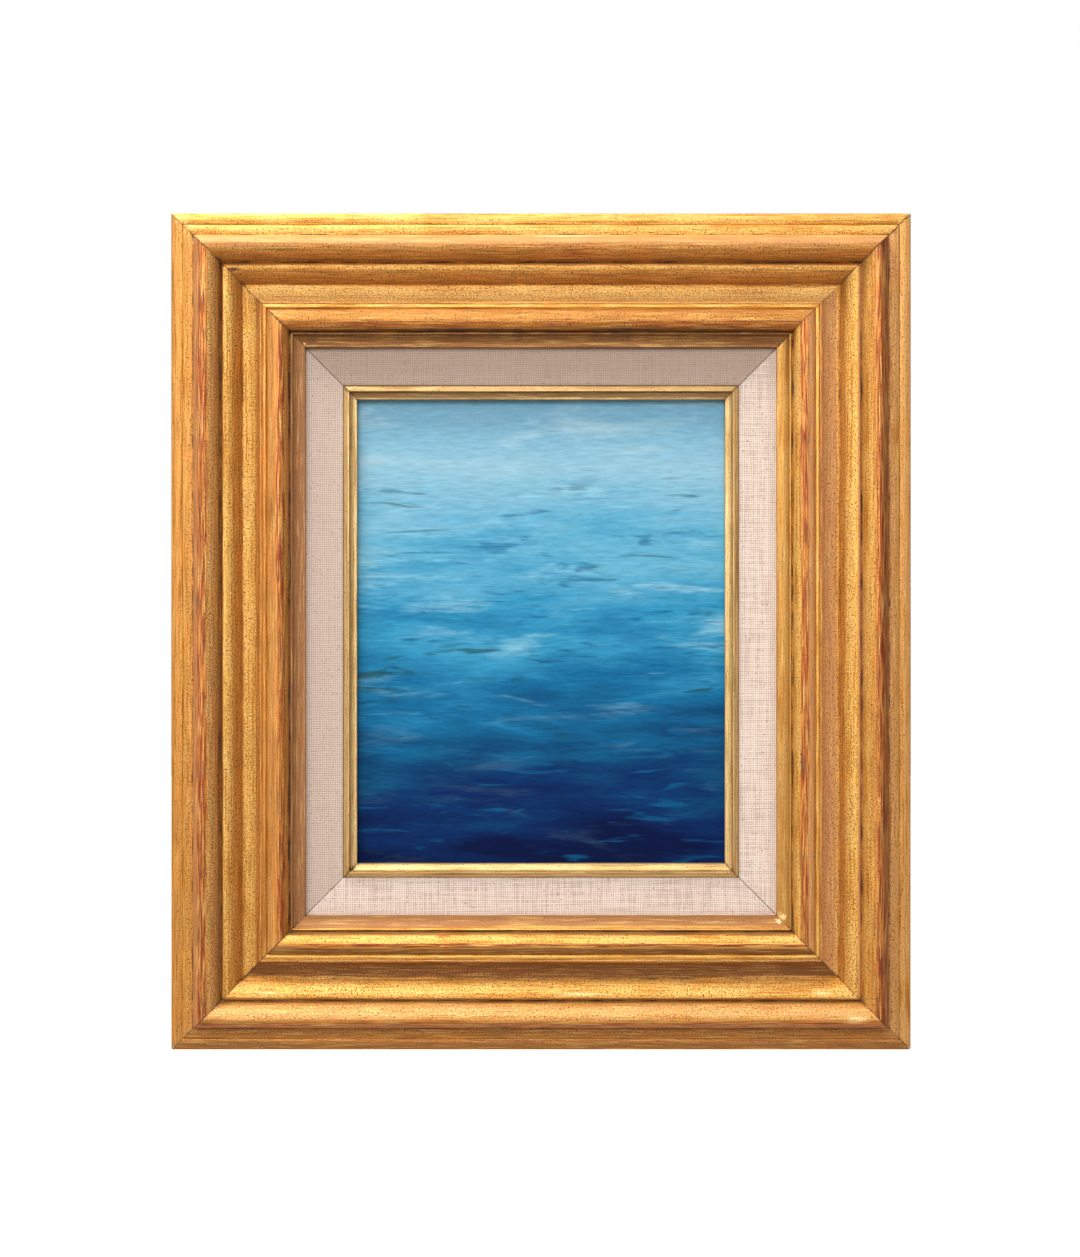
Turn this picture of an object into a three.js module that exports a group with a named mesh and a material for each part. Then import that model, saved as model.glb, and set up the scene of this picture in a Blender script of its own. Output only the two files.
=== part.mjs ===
// A small oil painting on a stretched canvas, in a gilded moulding with a linen liner.
// Millimetres. The picture faces -Y, +X is to the right and +Z is up.
// The origin is on the flat back of the top frame rail, midway along it.
import * as THREE from 'three';

// Canvas and stretcher
const canvasWidth = 219.5;
const canvasHeight = 273;
const canvasThickness = 0.8;
const stretcherDepth = 17;
const stretcherBarWidth = 30;
const stretcherEdgeWidth = 6;
const stretcherBevelDrop = 3;
const canvasRecess = 1.7;

// Clearances between touching pieces
const mitreGap = 0.3;
const seatGap = 0.3;
const rebateClearance = 1;

// Liner and fillet
const canvasOverlap = 7.25;
const linenWidth = 21;
const linerTuck = 6;
const linerThickness = 15;
const linerLipThickness = 2;
const linerLipSetback = 0.8;
const filletWidth = 7.2;
const filletSeatDepth = 3.9;
const filletRoundWidth = 3.3;
const filletGrooveWidth = 0.5;
const filletGrooveDepth = 0.45;
const filletRise = 2.3;
const filletSlopeDrop = 2.4;

// Frame moulding, from its outer edge to its sight edge
const outerBandWidth = 6.1;
const bandGrooveWidth = 0.8;
const bandGrooveDepth = 0.9;
const innerBandWidth = 5.7;
const ridgeGrooveWidth = 1;
const ridgeGrooveDepth = 1.2;
const ridgeWidth = 15.3;
const quirkWidth = 1;
const quirkDepth = 1.6;
const lipWidth = 1.6;
const swellWidth = 8.2;
const creaseWidth = 0.6;
const creaseDepth = 0.5;
const coveWidth = 10.1;
const coveShelfWidth = 0.9;
const beadGrooveWidth = 0.5;
const beadGrooveDepth = 0.6;
const beadWidth = 2.4;
const torusGrooveWidth = 0.4;
const torusWidth = 11.4;
const sightQuirkWidth = 0.8;
const sightQuirkDepth = 1.1;
const sightReedWidth = 1.2;
const sightCoveWidth = 6;
const edgeRadius = 1.2;

// Heights of the moulding's members above its sight edge
const sightLipThickness = 3.2;
const outerBandRise = 0.5;
const innerBandRise = 1.1;
const bandCrown = 0.45;
const ridgeRise = 16.5;
const ridgeFootRise = 7.9;
const lipRise = 9.5;
const creaseRise = 1.6;
const coveRimRise = 6.3;
const beadRise = 7.1;
const torusRise = 9.7;
const torusFootRise = 3.9;
const sightReedRise = 4.1;
const sightCoveTopRise = 3.4;

// How far the swell and the cove turn from level, in radians
const swellTurn = Math.PI * 0.3;
const coveTurn = Math.PI * 0.36;

// Steps in a curve of the moulding
const ridgeSteps = 16;
const coveSteps = 8;
const torusSteps = 14;
const smallSteps = 5;

// Depths, counted from the frame's flat back towards the front
const stretcherFace = canvasRecess + stretcherDepth;
const canvasBack = stretcherFace + seatGap;
const canvasFace = canvasBack + canvasThickness;
const linerLipBack = canvasFace + seatGap;
const linerLipFace = linerLipBack + linerLipThickness;
const filletBack = linerLipFace + seatGap;
const linenFace = linerLipFace + filletSeatDepth;
const linerBack = linenFace - linerThickness;
const rebateFace = linenFace + seatGap;
const sightHeight = rebateFace + sightLipThickness;

// Widths and heights of each ring of rails, over its outer edge
const sightOpening = ring(canvasWidth - 2 * canvasOverlap, canvasHeight - 2 * canvasOverlap);
const filletRing = grown(sightOpening, filletWidth);
const linenRing = grown(filletRing, linenWidth);
const linerRing = grown(linenRing, linerTuck);
const mouldingWidth = outerBandWidth + bandGrooveWidth + innerBandWidth + ridgeGrooveWidth
  + ridgeWidth + quirkWidth + lipWidth + swellWidth + creaseWidth + coveWidth
  + coveShelfWidth + beadGrooveWidth + beadWidth + torusGrooveWidth + torusWidth
  + sightQuirkWidth + sightReedWidth + sightCoveWidth;
const frameRing = grown(linenRing, mouldingWidth);
const canvasRing = ring(canvasWidth, canvasHeight);
// The canvas is folded round the stretcher, so the bars keep clear of its edge by the cloth's thickness.
const stretcherRing = grown(canvasRing, -(canvasThickness + seatGap));

// The frame's back is as wide as the moulding less its rebate, and the origin is midway across it.
const rebateWidth = linerTuck + rebateClearance;
const backWidth = mouldingWidth - rebateWidth;
const centreZ = backWidth / 2 - frameRing.height / 2;

function ring(width, height) {
  return { width, height };
}

function grown(inner, by) {
  return ring(inner.width + 2 * by, inner.height + 2 * by);
}

// A profile is drawn as a pen moves inward from the outer edge: x is the distance from that edge,
// and y is the height above the flat back.
class Profile {
  constructor(x, y) {
    this.points = [new THREE.Vector2(x, y)];
  }

  get x() {
    return this.points.at(-1).x;
  }

  get y() {
    return this.points.at(-1).y;
  }

  to(x, y) {
    this.points.push(new THREE.Vector2(x, y));
    return this;
  }

  across(width, y) {
    return this.to(this.x + width, y);
  }

  // A V-shaped groove, from the present height to the height at its other side.
  groove(width, depth, after) {
    const floor = Math.min(this.y, after) - depth;
    return this.across(width / 2, floor).across(width / 2, after);
  }

  // A gently crowned flat between two heights.
  crowned(width, after, crown, steps) {
    const { x, y } = this;
    for (let i = 1; i <= steps; i += 1) {
      const u = i / steps;
      this.to(x + u * width, y + u * (after - y) + crown * Math.sin(Math.PI * u));
    }
    return this;
  }

  // A torus: a quarter of an ellipse up to its crest and another down to its foot.
  torus(width, crest, foot, steps) {
    const half = width / 2;
    return this.steepThenLevel(half, crest, steps / 2).levelThenSteep(half, foot, steps / 2);
  }

  // A quarter of an ellipse, up or down: upright at its start and level at its end.
  steepThenLevel(width, end, steps) {
    const { x, y } = this;
    const place = (a) => this.to(x + width * (1 - Math.cos(a)), y + (end - y) * Math.sin(a));
    return this.sweep(steps, Math.PI / 2, place);
  }

  // A stretch of an ellipse, up or down: level at its start, and upright at its end where it turns a
  // whole quarter.
  levelThenSteep(width, end, steps, turn = Math.PI / 2) {
    const { x, y } = this;
    const share = (a) => (1 - Math.cos(a)) / (1 - Math.cos(turn));
    const place = (a) => this.to(x + (width * Math.sin(a)) / Math.sin(turn), y + (end - y) * share(a));
    return this.sweep(steps, turn, place);
  }

  sweep(steps, turn, place) {
    const count = Math.max(1, Math.round(steps));
    for (let i = 1; i <= count; i += 1) place(turn * (i / count));
    return this;
  }
}

// The gilded moulding: two flat bands, a high ridge, a swell that falls from a small lip to a crease,
// a wide cove, a bead, a lower torus and a small cove down to the sight edge, with the rebate for the
// liner behind it.
function mouldingProfile() {
  const outerBand = sightHeight + outerBandRise;
  const innerBand = sightHeight + innerBandRise;
  const profile = new Profile(0, 0).to(0, outerBand - edgeRadius);
  profile.steepThenLevel(edgeRadius, outerBand, smallSteps);
  profile.crowned(outerBandWidth - edgeRadius, outerBand, bandCrown, smallSteps);
  profile.groove(bandGrooveWidth, bandGrooveDepth, innerBand);
  profile.crowned(innerBandWidth, innerBand, bandCrown, smallSteps);
  profile.groove(ridgeGrooveWidth, ridgeGrooveDepth, innerBand);
  profile.torus(ridgeWidth, sightHeight + ridgeRise, sightHeight + ridgeFootRise, ridgeSteps);
  profile.groove(quirkWidth, quirkDepth, sightHeight + ridgeFootRise);
  profile.steepThenLevel(lipWidth, sightHeight + lipRise, smallSteps);
  profile.levelThenSteep(swellWidth, sightHeight + creaseRise, coveSteps, swellTurn);
  profile.groove(creaseWidth, creaseDepth, sightHeight + creaseRise);
  profile.levelThenSteep(coveWidth, sightHeight + coveRimRise, coveSteps, coveTurn);
  profile.across(coveShelfWidth, sightHeight + coveRimRise);
  profile.groove(beadGrooveWidth, beadGrooveDepth, sightHeight + coveRimRise);
  profile.torus(beadWidth, sightHeight + beadRise, sightHeight + coveRimRise, smallSteps * 2);
  profile.groove(torusGrooveWidth, beadGrooveDepth, sightHeight + coveRimRise);
  profile.torus(torusWidth, sightHeight + torusRise, sightHeight + torusFootRise, torusSteps);
  profile.groove(sightQuirkWidth, sightQuirkDepth, sightHeight + sightCoveTopRise);
  profile.torus(sightReedWidth, sightHeight + sightReedRise, sightHeight + sightCoveTopRise, smallSteps);
  profile.steepThenLevel(sightCoveWidth, sightHeight, smallSteps);
  return profile.to(mouldingWidth, rebateFace).to(backWidth, rebateFace).to(backWidth, 0);
}

// The liner: a flat board with a seat for the fillet in front and a rebate for the canvas behind.
function linerProfile() {
  const width = linerTuck + linenWidth + filletWidth;
  const canvasWall = width - canvasOverlap - rebateClearance;
  const seatWall = linerTuck + linenWidth - seatGap;
  return new Profile(0, linerBack).to(0, linenFace).to(seatWall, linenFace).to(seatWall, linerLipFace)
    .to(width - linerLipSetback, linerLipFace).to(width - linerLipSetback, linerLipBack)
    .to(canvasWall, linerLipBack).to(canvasWall, linerBack);
}

// The fillet: rounded towards the linen, a fine groove, then a slope down to the picture.
function filletProfile() {
  const crest = linenFace + filletRise;
  const slopeTop = crest - filletGrooveDepth;
  const slopeWidth = filletWidth - filletRoundWidth - filletGrooveWidth;
  const profile = new Profile(0, filletBack).to(0, linenFace);
  profile.steepThenLevel(filletRoundWidth, crest, smallSteps);
  profile.groove(filletGrooveWidth, filletGrooveDepth, slopeTop);
  profile.steepThenLevel(slopeWidth, slopeTop - filletSlopeDrop, smallSteps);
  return profile.to(filletWidth, filletBack);
}

// A stretcher bar: it touches the canvas along its outer edge only and falls away from it inside.
function stretcherProfile() {
  return new Profile(0, canvasRecess).to(0, stretcherFace).to(stretcherEdgeWidth, stretcherFace)
    .to(stretcherBarWidth, stretcherFace - stretcherBevelDrop).to(stretcherBarWidth, canvasRecess);
}

// One rail of a ring, its ends cut on the mitre. It is swept along its side of the ring as an
// extrusion of unit length, whose ends are then drawn out to the two mitre planes.
function mitredRail(profile, along, across) {
  const shape = new THREE.Shape(profile.points);
  const geometry = new THREE.ExtrudeGeometry(shape, { depth: 1, bevelEnabled: false });
  const shortening = mitreGap / Math.SQRT2;
  const position = geometry.attributes.position;
  for (let i = 0; i < position.count; i += 1) {
    const inward = position.getX(i);
    const height = position.getY(i);
    const side = position.getZ(i) > 0.5 ? -1 : 1;
    position.setXYZ(i, side * (along / 2 - inward - shortening), -height, across / 2 - inward);
  }
  geometry.computeVertexNormals();
  return geometry;
}

const railTurns = { top: 0, left: -Math.PI / 2, bottom: Math.PI, right: Math.PI / 2 };

// The four rails of a ring, each turned about the picture's centre to its own side.
function railsOf(rails, name, profile, size, material) {
  for (const [side, turn] of Object.entries(railTurns)) {
    const upright = side === 'left' || side === 'right';
    const along = upright ? size.height : size.width;
    const across = upright ? size.width : size.height;
    const rail = new THREE.Mesh(mitredRail(profile, along, across), material);
    rail.name = `${name}_${side}`;
    rail.rotation.y = turn;
    rails.add(rail);
  }
}

const gilding = new THREE.MeshStandardMaterial({ color: '#c98a35', roughness: 0.38, metalness: 0.85 });
const filletGilding = new THREE.MeshStandardMaterial({ color: '#cfa65c', roughness: 0.42, metalness: 0.8 });
const linen = new THREE.MeshStandardMaterial({ color: '#d9c4b6', roughness: 0.95, metalness: 0 });
const paint = new THREE.MeshStandardMaterial({ color: '#2a8fc4', roughness: 0.45, metalness: 0 });
const pine = new THREE.MeshStandardMaterial({ color: '#d3b27e', roughness: 0.8, metalness: 0 });

const picture = new THREE.Group();
picture.position.z = centreZ;

railsOf(picture, 'frame_rail', mouldingProfile(), frameRing, gilding);
railsOf(picture, 'liner_rail', linerProfile(), linerRing, linen);
railsOf(picture, 'fillet', filletProfile(), filletRing, filletGilding);
railsOf(picture, 'stretcher_bar', stretcherProfile(), stretcherRing, pine);

const canvas = new THREE.Mesh(new THREE.BoxGeometry(canvasWidth, canvasThickness, canvasHeight), paint);
canvas.name = 'canvas';
canvas.position.y = -(canvasBack + canvasThickness / 2);
picture.add(canvas);

const framedPainting = new THREE.Group();
framedPainting.add(picture);

export default framedPainting;
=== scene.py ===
"""A small framed oil painting: gilded moulding, linen liner, gilt fillet and stretched canvas."""

import logging
from dataclasses import dataclass, field
from enum import Enum
from math import ceil, cos, hypot, pi, radians, sin, sqrt
from typing import ClassVar

import bmesh
import bpy
import numpy as np
from bmesh.types import BMEdge, BMesh, BMVert
from bpy.types import Material, Mesh, Node, NodeSocket, Object
from mathutils import Matrix, Vector


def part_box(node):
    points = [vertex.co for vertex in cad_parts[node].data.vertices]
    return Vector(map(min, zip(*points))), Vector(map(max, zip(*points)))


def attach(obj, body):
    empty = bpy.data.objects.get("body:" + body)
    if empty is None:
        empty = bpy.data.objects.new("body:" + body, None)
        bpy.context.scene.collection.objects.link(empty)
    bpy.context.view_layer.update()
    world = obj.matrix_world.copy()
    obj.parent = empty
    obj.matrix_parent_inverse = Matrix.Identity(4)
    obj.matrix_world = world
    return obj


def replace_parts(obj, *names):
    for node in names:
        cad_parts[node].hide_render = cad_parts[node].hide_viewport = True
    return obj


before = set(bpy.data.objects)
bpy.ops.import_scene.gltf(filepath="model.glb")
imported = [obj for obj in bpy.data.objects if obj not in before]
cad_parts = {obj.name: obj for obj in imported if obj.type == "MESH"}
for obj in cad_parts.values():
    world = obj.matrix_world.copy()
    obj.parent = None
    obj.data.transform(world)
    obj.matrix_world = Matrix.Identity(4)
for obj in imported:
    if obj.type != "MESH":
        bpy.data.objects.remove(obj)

LOG = logging.getLogger("framed_painting")
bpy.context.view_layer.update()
BODY = "root"
RUN_MAP = "run"
MITRE_GAP = 0.3e-3
RAIL_OFFSET = 0.73
FRONT_DEPTH = 22e-3
SHARP_ANGLE = radians(50)
ACROSS = "across"

Colour = tuple[float, float, float, float]


def srgb(code: str) -> Colour:
    """Turn a colour as a designer writes it into the linear values that a shader takes.

    Args:
        code: Six hexadecimal digits, red, green and blue.

    Returns:
        The linear red, green, blue and an alpha of 1.
    """
    parts = [int(code[i : i + 2], 16) / 255 for i in (0, 2, 4)]
    linear = [p / 12.92 if p <= 0.04045 else ((p + 0.055) / 1.055) ** 2.4 for p in parts]
    return (linear[0], linear[1], linear[2], 1.0)


class Side(Enum):
    """A side of a ring of rails; the value is its turn from the top side, in degrees."""

    TOP = 0
    RIGHT = 90
    BOTTOM = 180
    LEFT = 270

    @property
    def word(self) -> str:
        """The side's name as it stands in a node's name."""
        return self.name.lower()

    @property
    def number(self) -> int:
        """The side's number, clockwise from 0 at the top."""
        return self.value // 90

    @property
    def upright(self) -> bool:
        """Whether the rail on this side stands upright."""
        return self in (Side.LEFT, Side.RIGHT)


@dataclass(frozen=True)
class Ring:
    """Four mitred rails round the picture, as large as the frame's own nodes of that name."""

    node: str

    def name(self, side: Side) -> str:
        """The node's name of the rail on a side."""
        return f"{self.node}_{side.word}"

    @property
    def low(self) -> tuple[float, float]:
        """The ring's left and bottom edges."""
        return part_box(self.name(Side.LEFT))[0][0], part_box(self.name(Side.BOTTOM))[0][2]

    @property
    def high(self) -> tuple[float, float]:
        """The ring's right and top edges."""
        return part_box(self.name(Side.RIGHT))[1][0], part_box(self.name(Side.TOP))[1][2]

    @property
    def centre(self) -> Vector:
        """The middle of the ring, on the frame's flat back."""
        return Vector(((self.low[0] + self.high[0]) / 2, 0, (self.low[1] + self.high[1]) / 2))

    def lengths(self, side: Side) -> tuple[float, float]:
        """The ring's extent along a side's rail and across to the opposite rail.

        Args:
            side: The side whose rail is meant.

        Returns:
            The length over the outer edge along the rail, and the ring's size across it.
        """
        width, height = self.high[0] - self.low[0], self.high[1] - self.low[1]
        return (height, width) if side.upright else (width, height)


@dataclass(frozen=True)
class SectionPoint:
    """A point of a rail's section.

    inward is its distance from the rail's outer edge, height its distance in front of the flat back
    and grime how much dirt it holds, from 0 to 1.
    """

    inward: float
    height: float
    grime: float = 0.0


@dataclass
class Section:
    """A rail's outline, drawn as a pen moves inward over its front and back along its rear."""

    start: SectionPoint
    step: float = 0.4e-3
    points: list[SectionPoint] = field(default_factory=list)
    side_end: int = 0
    front_end: int = 0

    def __post_init__(self) -> None:
        """Put the pen down."""
        self.points.append(self.start)

    @property
    def pen(self) -> SectionPoint:
        """The last point drawn."""
        return self.points[-1]

    def mark(self, inward: float, height: float, grime: float = 0.0) -> "Section":
        """Draw one straight edge to a point.

        Args:
            inward: The point's distance from the outer edge.
            height: Its height above the back.
            grime: The dirt there.

        Returns:
            The section itself.
        """
        self.points.append(SectionPoint(inward, height, grime))
        return self

    def count(self, length: float, least: int = 4) -> int:
        """How many steps a stretch of that length takes, and no fewer than the least."""
        return max(least, ceil(length / self.step))

    def line(self, inward: float, height: float, crown: float = 0.0) -> "Section":
        """Draw a flat or gently crowned stretch in fine steps.

        Args:
            inward: Where it ends, from the outer edge.
            height: Its height at the end.
            crown: How far its middle swells above the straight line.

        Returns:
            The section itself.
        """
        at = self.pen
        steps = self.count(hypot(inward - at.inward, height - at.height))
        for i in range(1, steps + 1):
            u = i / steps
            level = at.height + u * (height - at.height)
            self.mark(at.inward + u * (inward - at.inward), level + crown * sin(pi * u))
        return self

    def groove(self, width: float, depth: float, after: float, grime: float = 1.0) -> "Section":
        """Draw a rounded groove.

        Args:
            width: The groove's width.
            depth: Its depth below the lower of its two shoulders.
            after: The height at its far shoulder.
            grime: The dirt on its floor.

        Returns:
            The section itself.
        """
        at = self.pen
        floor = min(at.height, after) - depth
        steps = self.count(width + depth, 8)
        for i in range(1, steps + 1):
            u = i / steps
            hollow = (1 - cos(2 * pi * u)) / 2
            shoulder = at.height if u < 0.5 else after
            self.mark(at.inward + u * width, shoulder + hollow * (floor - shoulder), grime * hollow)
        return self

    def rise(self, width: float, end: float) -> "Section":
        """Draw a quarter of an ellipse, up or down, that starts upright and ends level.

        Args:
            width: Its width.
            end: The height where it ends.

        Returns:
            The section itself.
        """
        at = self.pen
        steps = self.count(hypot(width, end - at.height))
        for i in range(1, steps + 1):
            a = pi / 2 * i / steps
            self.mark(at.inward + (1 - cos(a)) * width, at.height + sin(a) * (end - at.height))
        return self

    def fall(self, width: float, end: float, turn: float = pi / 2) -> "Section":
        """Draw a stretch of an ellipse, up or down, that starts level.

        Args:
            width: Its width.
            end: The height where it ends.
            turn: How far it turns; a quarter turn ends upright.

        Returns:
            The section itself.
        """
        at = self.pen
        steps = self.count(hypot(width, end - at.height))
        for i in range(1, steps + 1):
            a = turn * i / steps
            share = (1 - cos(a)) / (1 - cos(turn))
            self.mark(at.inward + width * sin(a) / sin(turn), at.height + share * (end - at.height))
        return self

    def torus(self, width: float, crest: float, foot: float) -> "Section":
        """Draw a half-round member up to its crest and down to its foot."""
        return self.rise(width / 2, crest).fall(width / 2, foot)

    def end_side(self) -> "Section":
        """Say that all edges so far belong to the outer side."""
        self.side_end = len(self.points) - 1
        return self

    def end_front(self) -> "Section":
        """Say that all edges from here on belong to the rear."""
        self.front_end = len(self.points) - 1
        return self

    def distances(self) -> list[float]:
        """Measure along the outline.

        Returns:
            The distance of each point from the start.
        """
        found = [0.0]
        for a, b in zip(self.points, self.points[1:]):
            found.append(found[-1] + hypot(b.inward - a.inward, b.height - a.height))
        return found


@dataclass(frozen=True)
class Unevenness:
    """Smooth random relief over a rail, with one bump to each cell of a grid."""

    seed: int
    along: float
    across: float

    def at(self, along: np.ndarray, across: np.ndarray) -> np.ndarray:
        """The relief at each place.

        Args:
            along: Places along the rail, in metres.
            across: Places across its section, in metres.

        Returns:
            A value from -1 to 1 for each place.
        """
        u = (along - along.min()) / self.along
        v = (across - across.min()) / self.across
        shape = int(u.max()) + 2, int(v.max()) + 2
        grid = np.random.default_rng(self.seed).uniform(-1, 1, shape)
        i, j = u.astype(int), v.astype(int)
        fu, fv = u - i, v - j
        fu, fv = fu * fu * (3 - 2 * fu), fv * fv * (3 - 2 * fv)
        near = grid[i, j] * (1 - fv) + grid[i, j + 1] * fv
        far = grid[i + 1, j] * (1 - fv) + grid[i + 1, j + 1] * fv
        return near * (1 - fu) + far * fu


class Tint(Enum):
    """A tone that a strip of the gilding takes; the value is the name of its stored layer. The umber layer
    is painted shade, on the linen too; the grime layer holds dirt and painted shade; amber and rose are
    tones that also paint shade and reflections; pale holds filler and painted highlights.
    """

    GRIME = "grime"
    BOLE = "bole"
    ROSE = "rose"
    AMBER = "amber"
    UMBER = "umber"
    PALE = "pale"
    SPECKLE = "speckle"


class Wear(Enum):
    """What a spot does to the leaf and the gesso under it; the shine kind only paints a highlight on the
    leaf.
    """

    NICK = "nick"
    SMUDGE = "smudge"
    SCRAPE = "scrape"
    FILLER = "filler"
    SHINE = "shine"
    RUB = "rub"


MARK_TINTS: dict[Wear, tuple[Tint, float]] = {
    Wear.NICK: (Tint.GRIME, 0.95),
    Wear.SMUDGE: (Tint.GRIME, 0.95),
    Wear.SCRAPE: (Tint.PALE, 0.95),
    Wear.FILLER: (Tint.PALE, 0.85),
    # The shine kind is a painted highlight in the pale layer.
    Wear.SHINE: (Tint.PALE, 0.6),
    Wear.RUB: (Tint.BOLE, 1.3),
}


@dataclass(frozen=True)
class Blemish:
    """One spot on the leaf, damage or a painted highlight: its kind, where it is on its rail, its size each
    way and its depth.
    """

    kind: Wear
    along: float
    inward: float
    length: float
    width: float
    depth: float = 0.0


@dataclass(frozen=True)
class Strip:
    """A toned strip along a rail, between two distances from its outer edge."""

    tint: Tint
    start: float
    end: float
    strength: float = 1.0


def mesh_from(bm: BMesh, name: str) -> Mesh:
    """Turn what was modelled into a mesh.

    Args:
        bm: What was modelled; it is freed.
        name: The mesh's name.

    Returns:
        The mesh.
    """
    mesh = bpy.data.meshes.new(name)
    bm.to_mesh(mesh)
    bm.free()
    return mesh


@dataclass
class Rail:
    """One stick of a ring: a section drawn along the ring's side and cut on the mitre at both ends."""

    ring: Ring
    side: Side
    section: Section
    pitch: float
    name: str
    gap: float = MITRE_GAP

    def build(self) -> Mesh:
        """Model the stick as the ring's top rail, with its middle at x = 0.

        Returns:
            The mesh, with its run map and its layers for wear and painted light stored on it.
        """
        bm = bmesh.new()
        ends = self.sweep(bm)
        self.divide(bm, ends)
        for end in ends:
            bmesh.ops.contextual_create(bm, geom=end)
        bmesh.ops.recalc_face_normals(bm, faces=bm.faces)
        self.map_run(bm)
        return mesh_from(bm, self.name)

    def sweep(self, bm: BMesh) -> list[list[BMEdge]]:
        """Draw the section at one mitre and extrude it to the other.

        Args:
            bm: The mesh being made.

        Returns:
            The edges of the section at the near end and at the far end.
        """
        along, across = self.ring.lengths(self.side)
        layers = {key: bm.verts.layers.float.new(key) for key in (ACROSS, *(tint.value for tint in Tint))}
        shortening = self.gap / sqrt(2)
        outline = []
        for point, distance in zip(self.section.points, self.section.distances()):
            half = along / 2 - point.inward - shortening
            vert = bm.verts.new((-half, -point.height, across / 2 - point.inward))
            vert[layers[ACROSS]] = distance
            vert[layers[Tint.GRIME.value]] = point.grime
            outline.append(vert)
        near = [bm.edges.new(pair) for pair in zip(outline, outline[1:] + outline[:1])]
        made = bmesh.ops.extrude_edge_only(bm, edges=near)["geom"]
        far = [item for item in made if isinstance(item, BMEdge) and item.is_boundary]
        for vert in {v for edge in far for v in edge.verts}:
            vert.co.x = -vert.co.x
        return [near, far]

    def divide(self, bm: BMesh, ends: list[list[BMEdge]]) -> None:
        """Cut the long faces into short ones.

        Args:
            bm: The mesh being made.
            ends: The edges of the two end sections.
        """
        at_ends = {e for end in ends for e in end}
        long_edges = [e for e in bm.edges if e not in at_ends]
        cuts = int(self.ring.lengths(self.side)[0] / self.pitch)
        bmesh.ops.subdivide_edges(bm, edges=long_edges, cuts=cuts, use_grid_fill=True)

    def map_run(self, bm: BMesh) -> None:
        """Store each corner's place along the rail and across its section, and choose each face's finish.

        Args:
            bm: The mesh being made.
        """
        across = bm.verts.layers.float[ACROSS]
        run = bm.loops.layers.uv.new(RUN_MAP)
        section = self.section
        distances = section.distances()
        first, last = section.points[0], section.points[-1]
        whole = distances[-1] + hypot(last.inward - first.inward, last.height - first.height)
        offset = RAIL_OFFSET * self.side.number
        for face in bm.faces:
            places = [loop.vert[across] for loop in face.loops]
            if len(places) == 4 and max(places) > distances[-1] - 1e-6:
                places = [whole if place < 1e-6 else place for place in places]
            for loop, place in zip(face.loops, places):
                loop[run].uv = (loop.vert.co.x + offset, place)
            middle = sum(places) / len(places)
            rear = len(places) > 4 or middle > distances[section.front_end]
            side = not rear and middle < distances[section.side_end]
            face.material_index = 2 if side else int(rear)
            face.smooth = True


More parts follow.
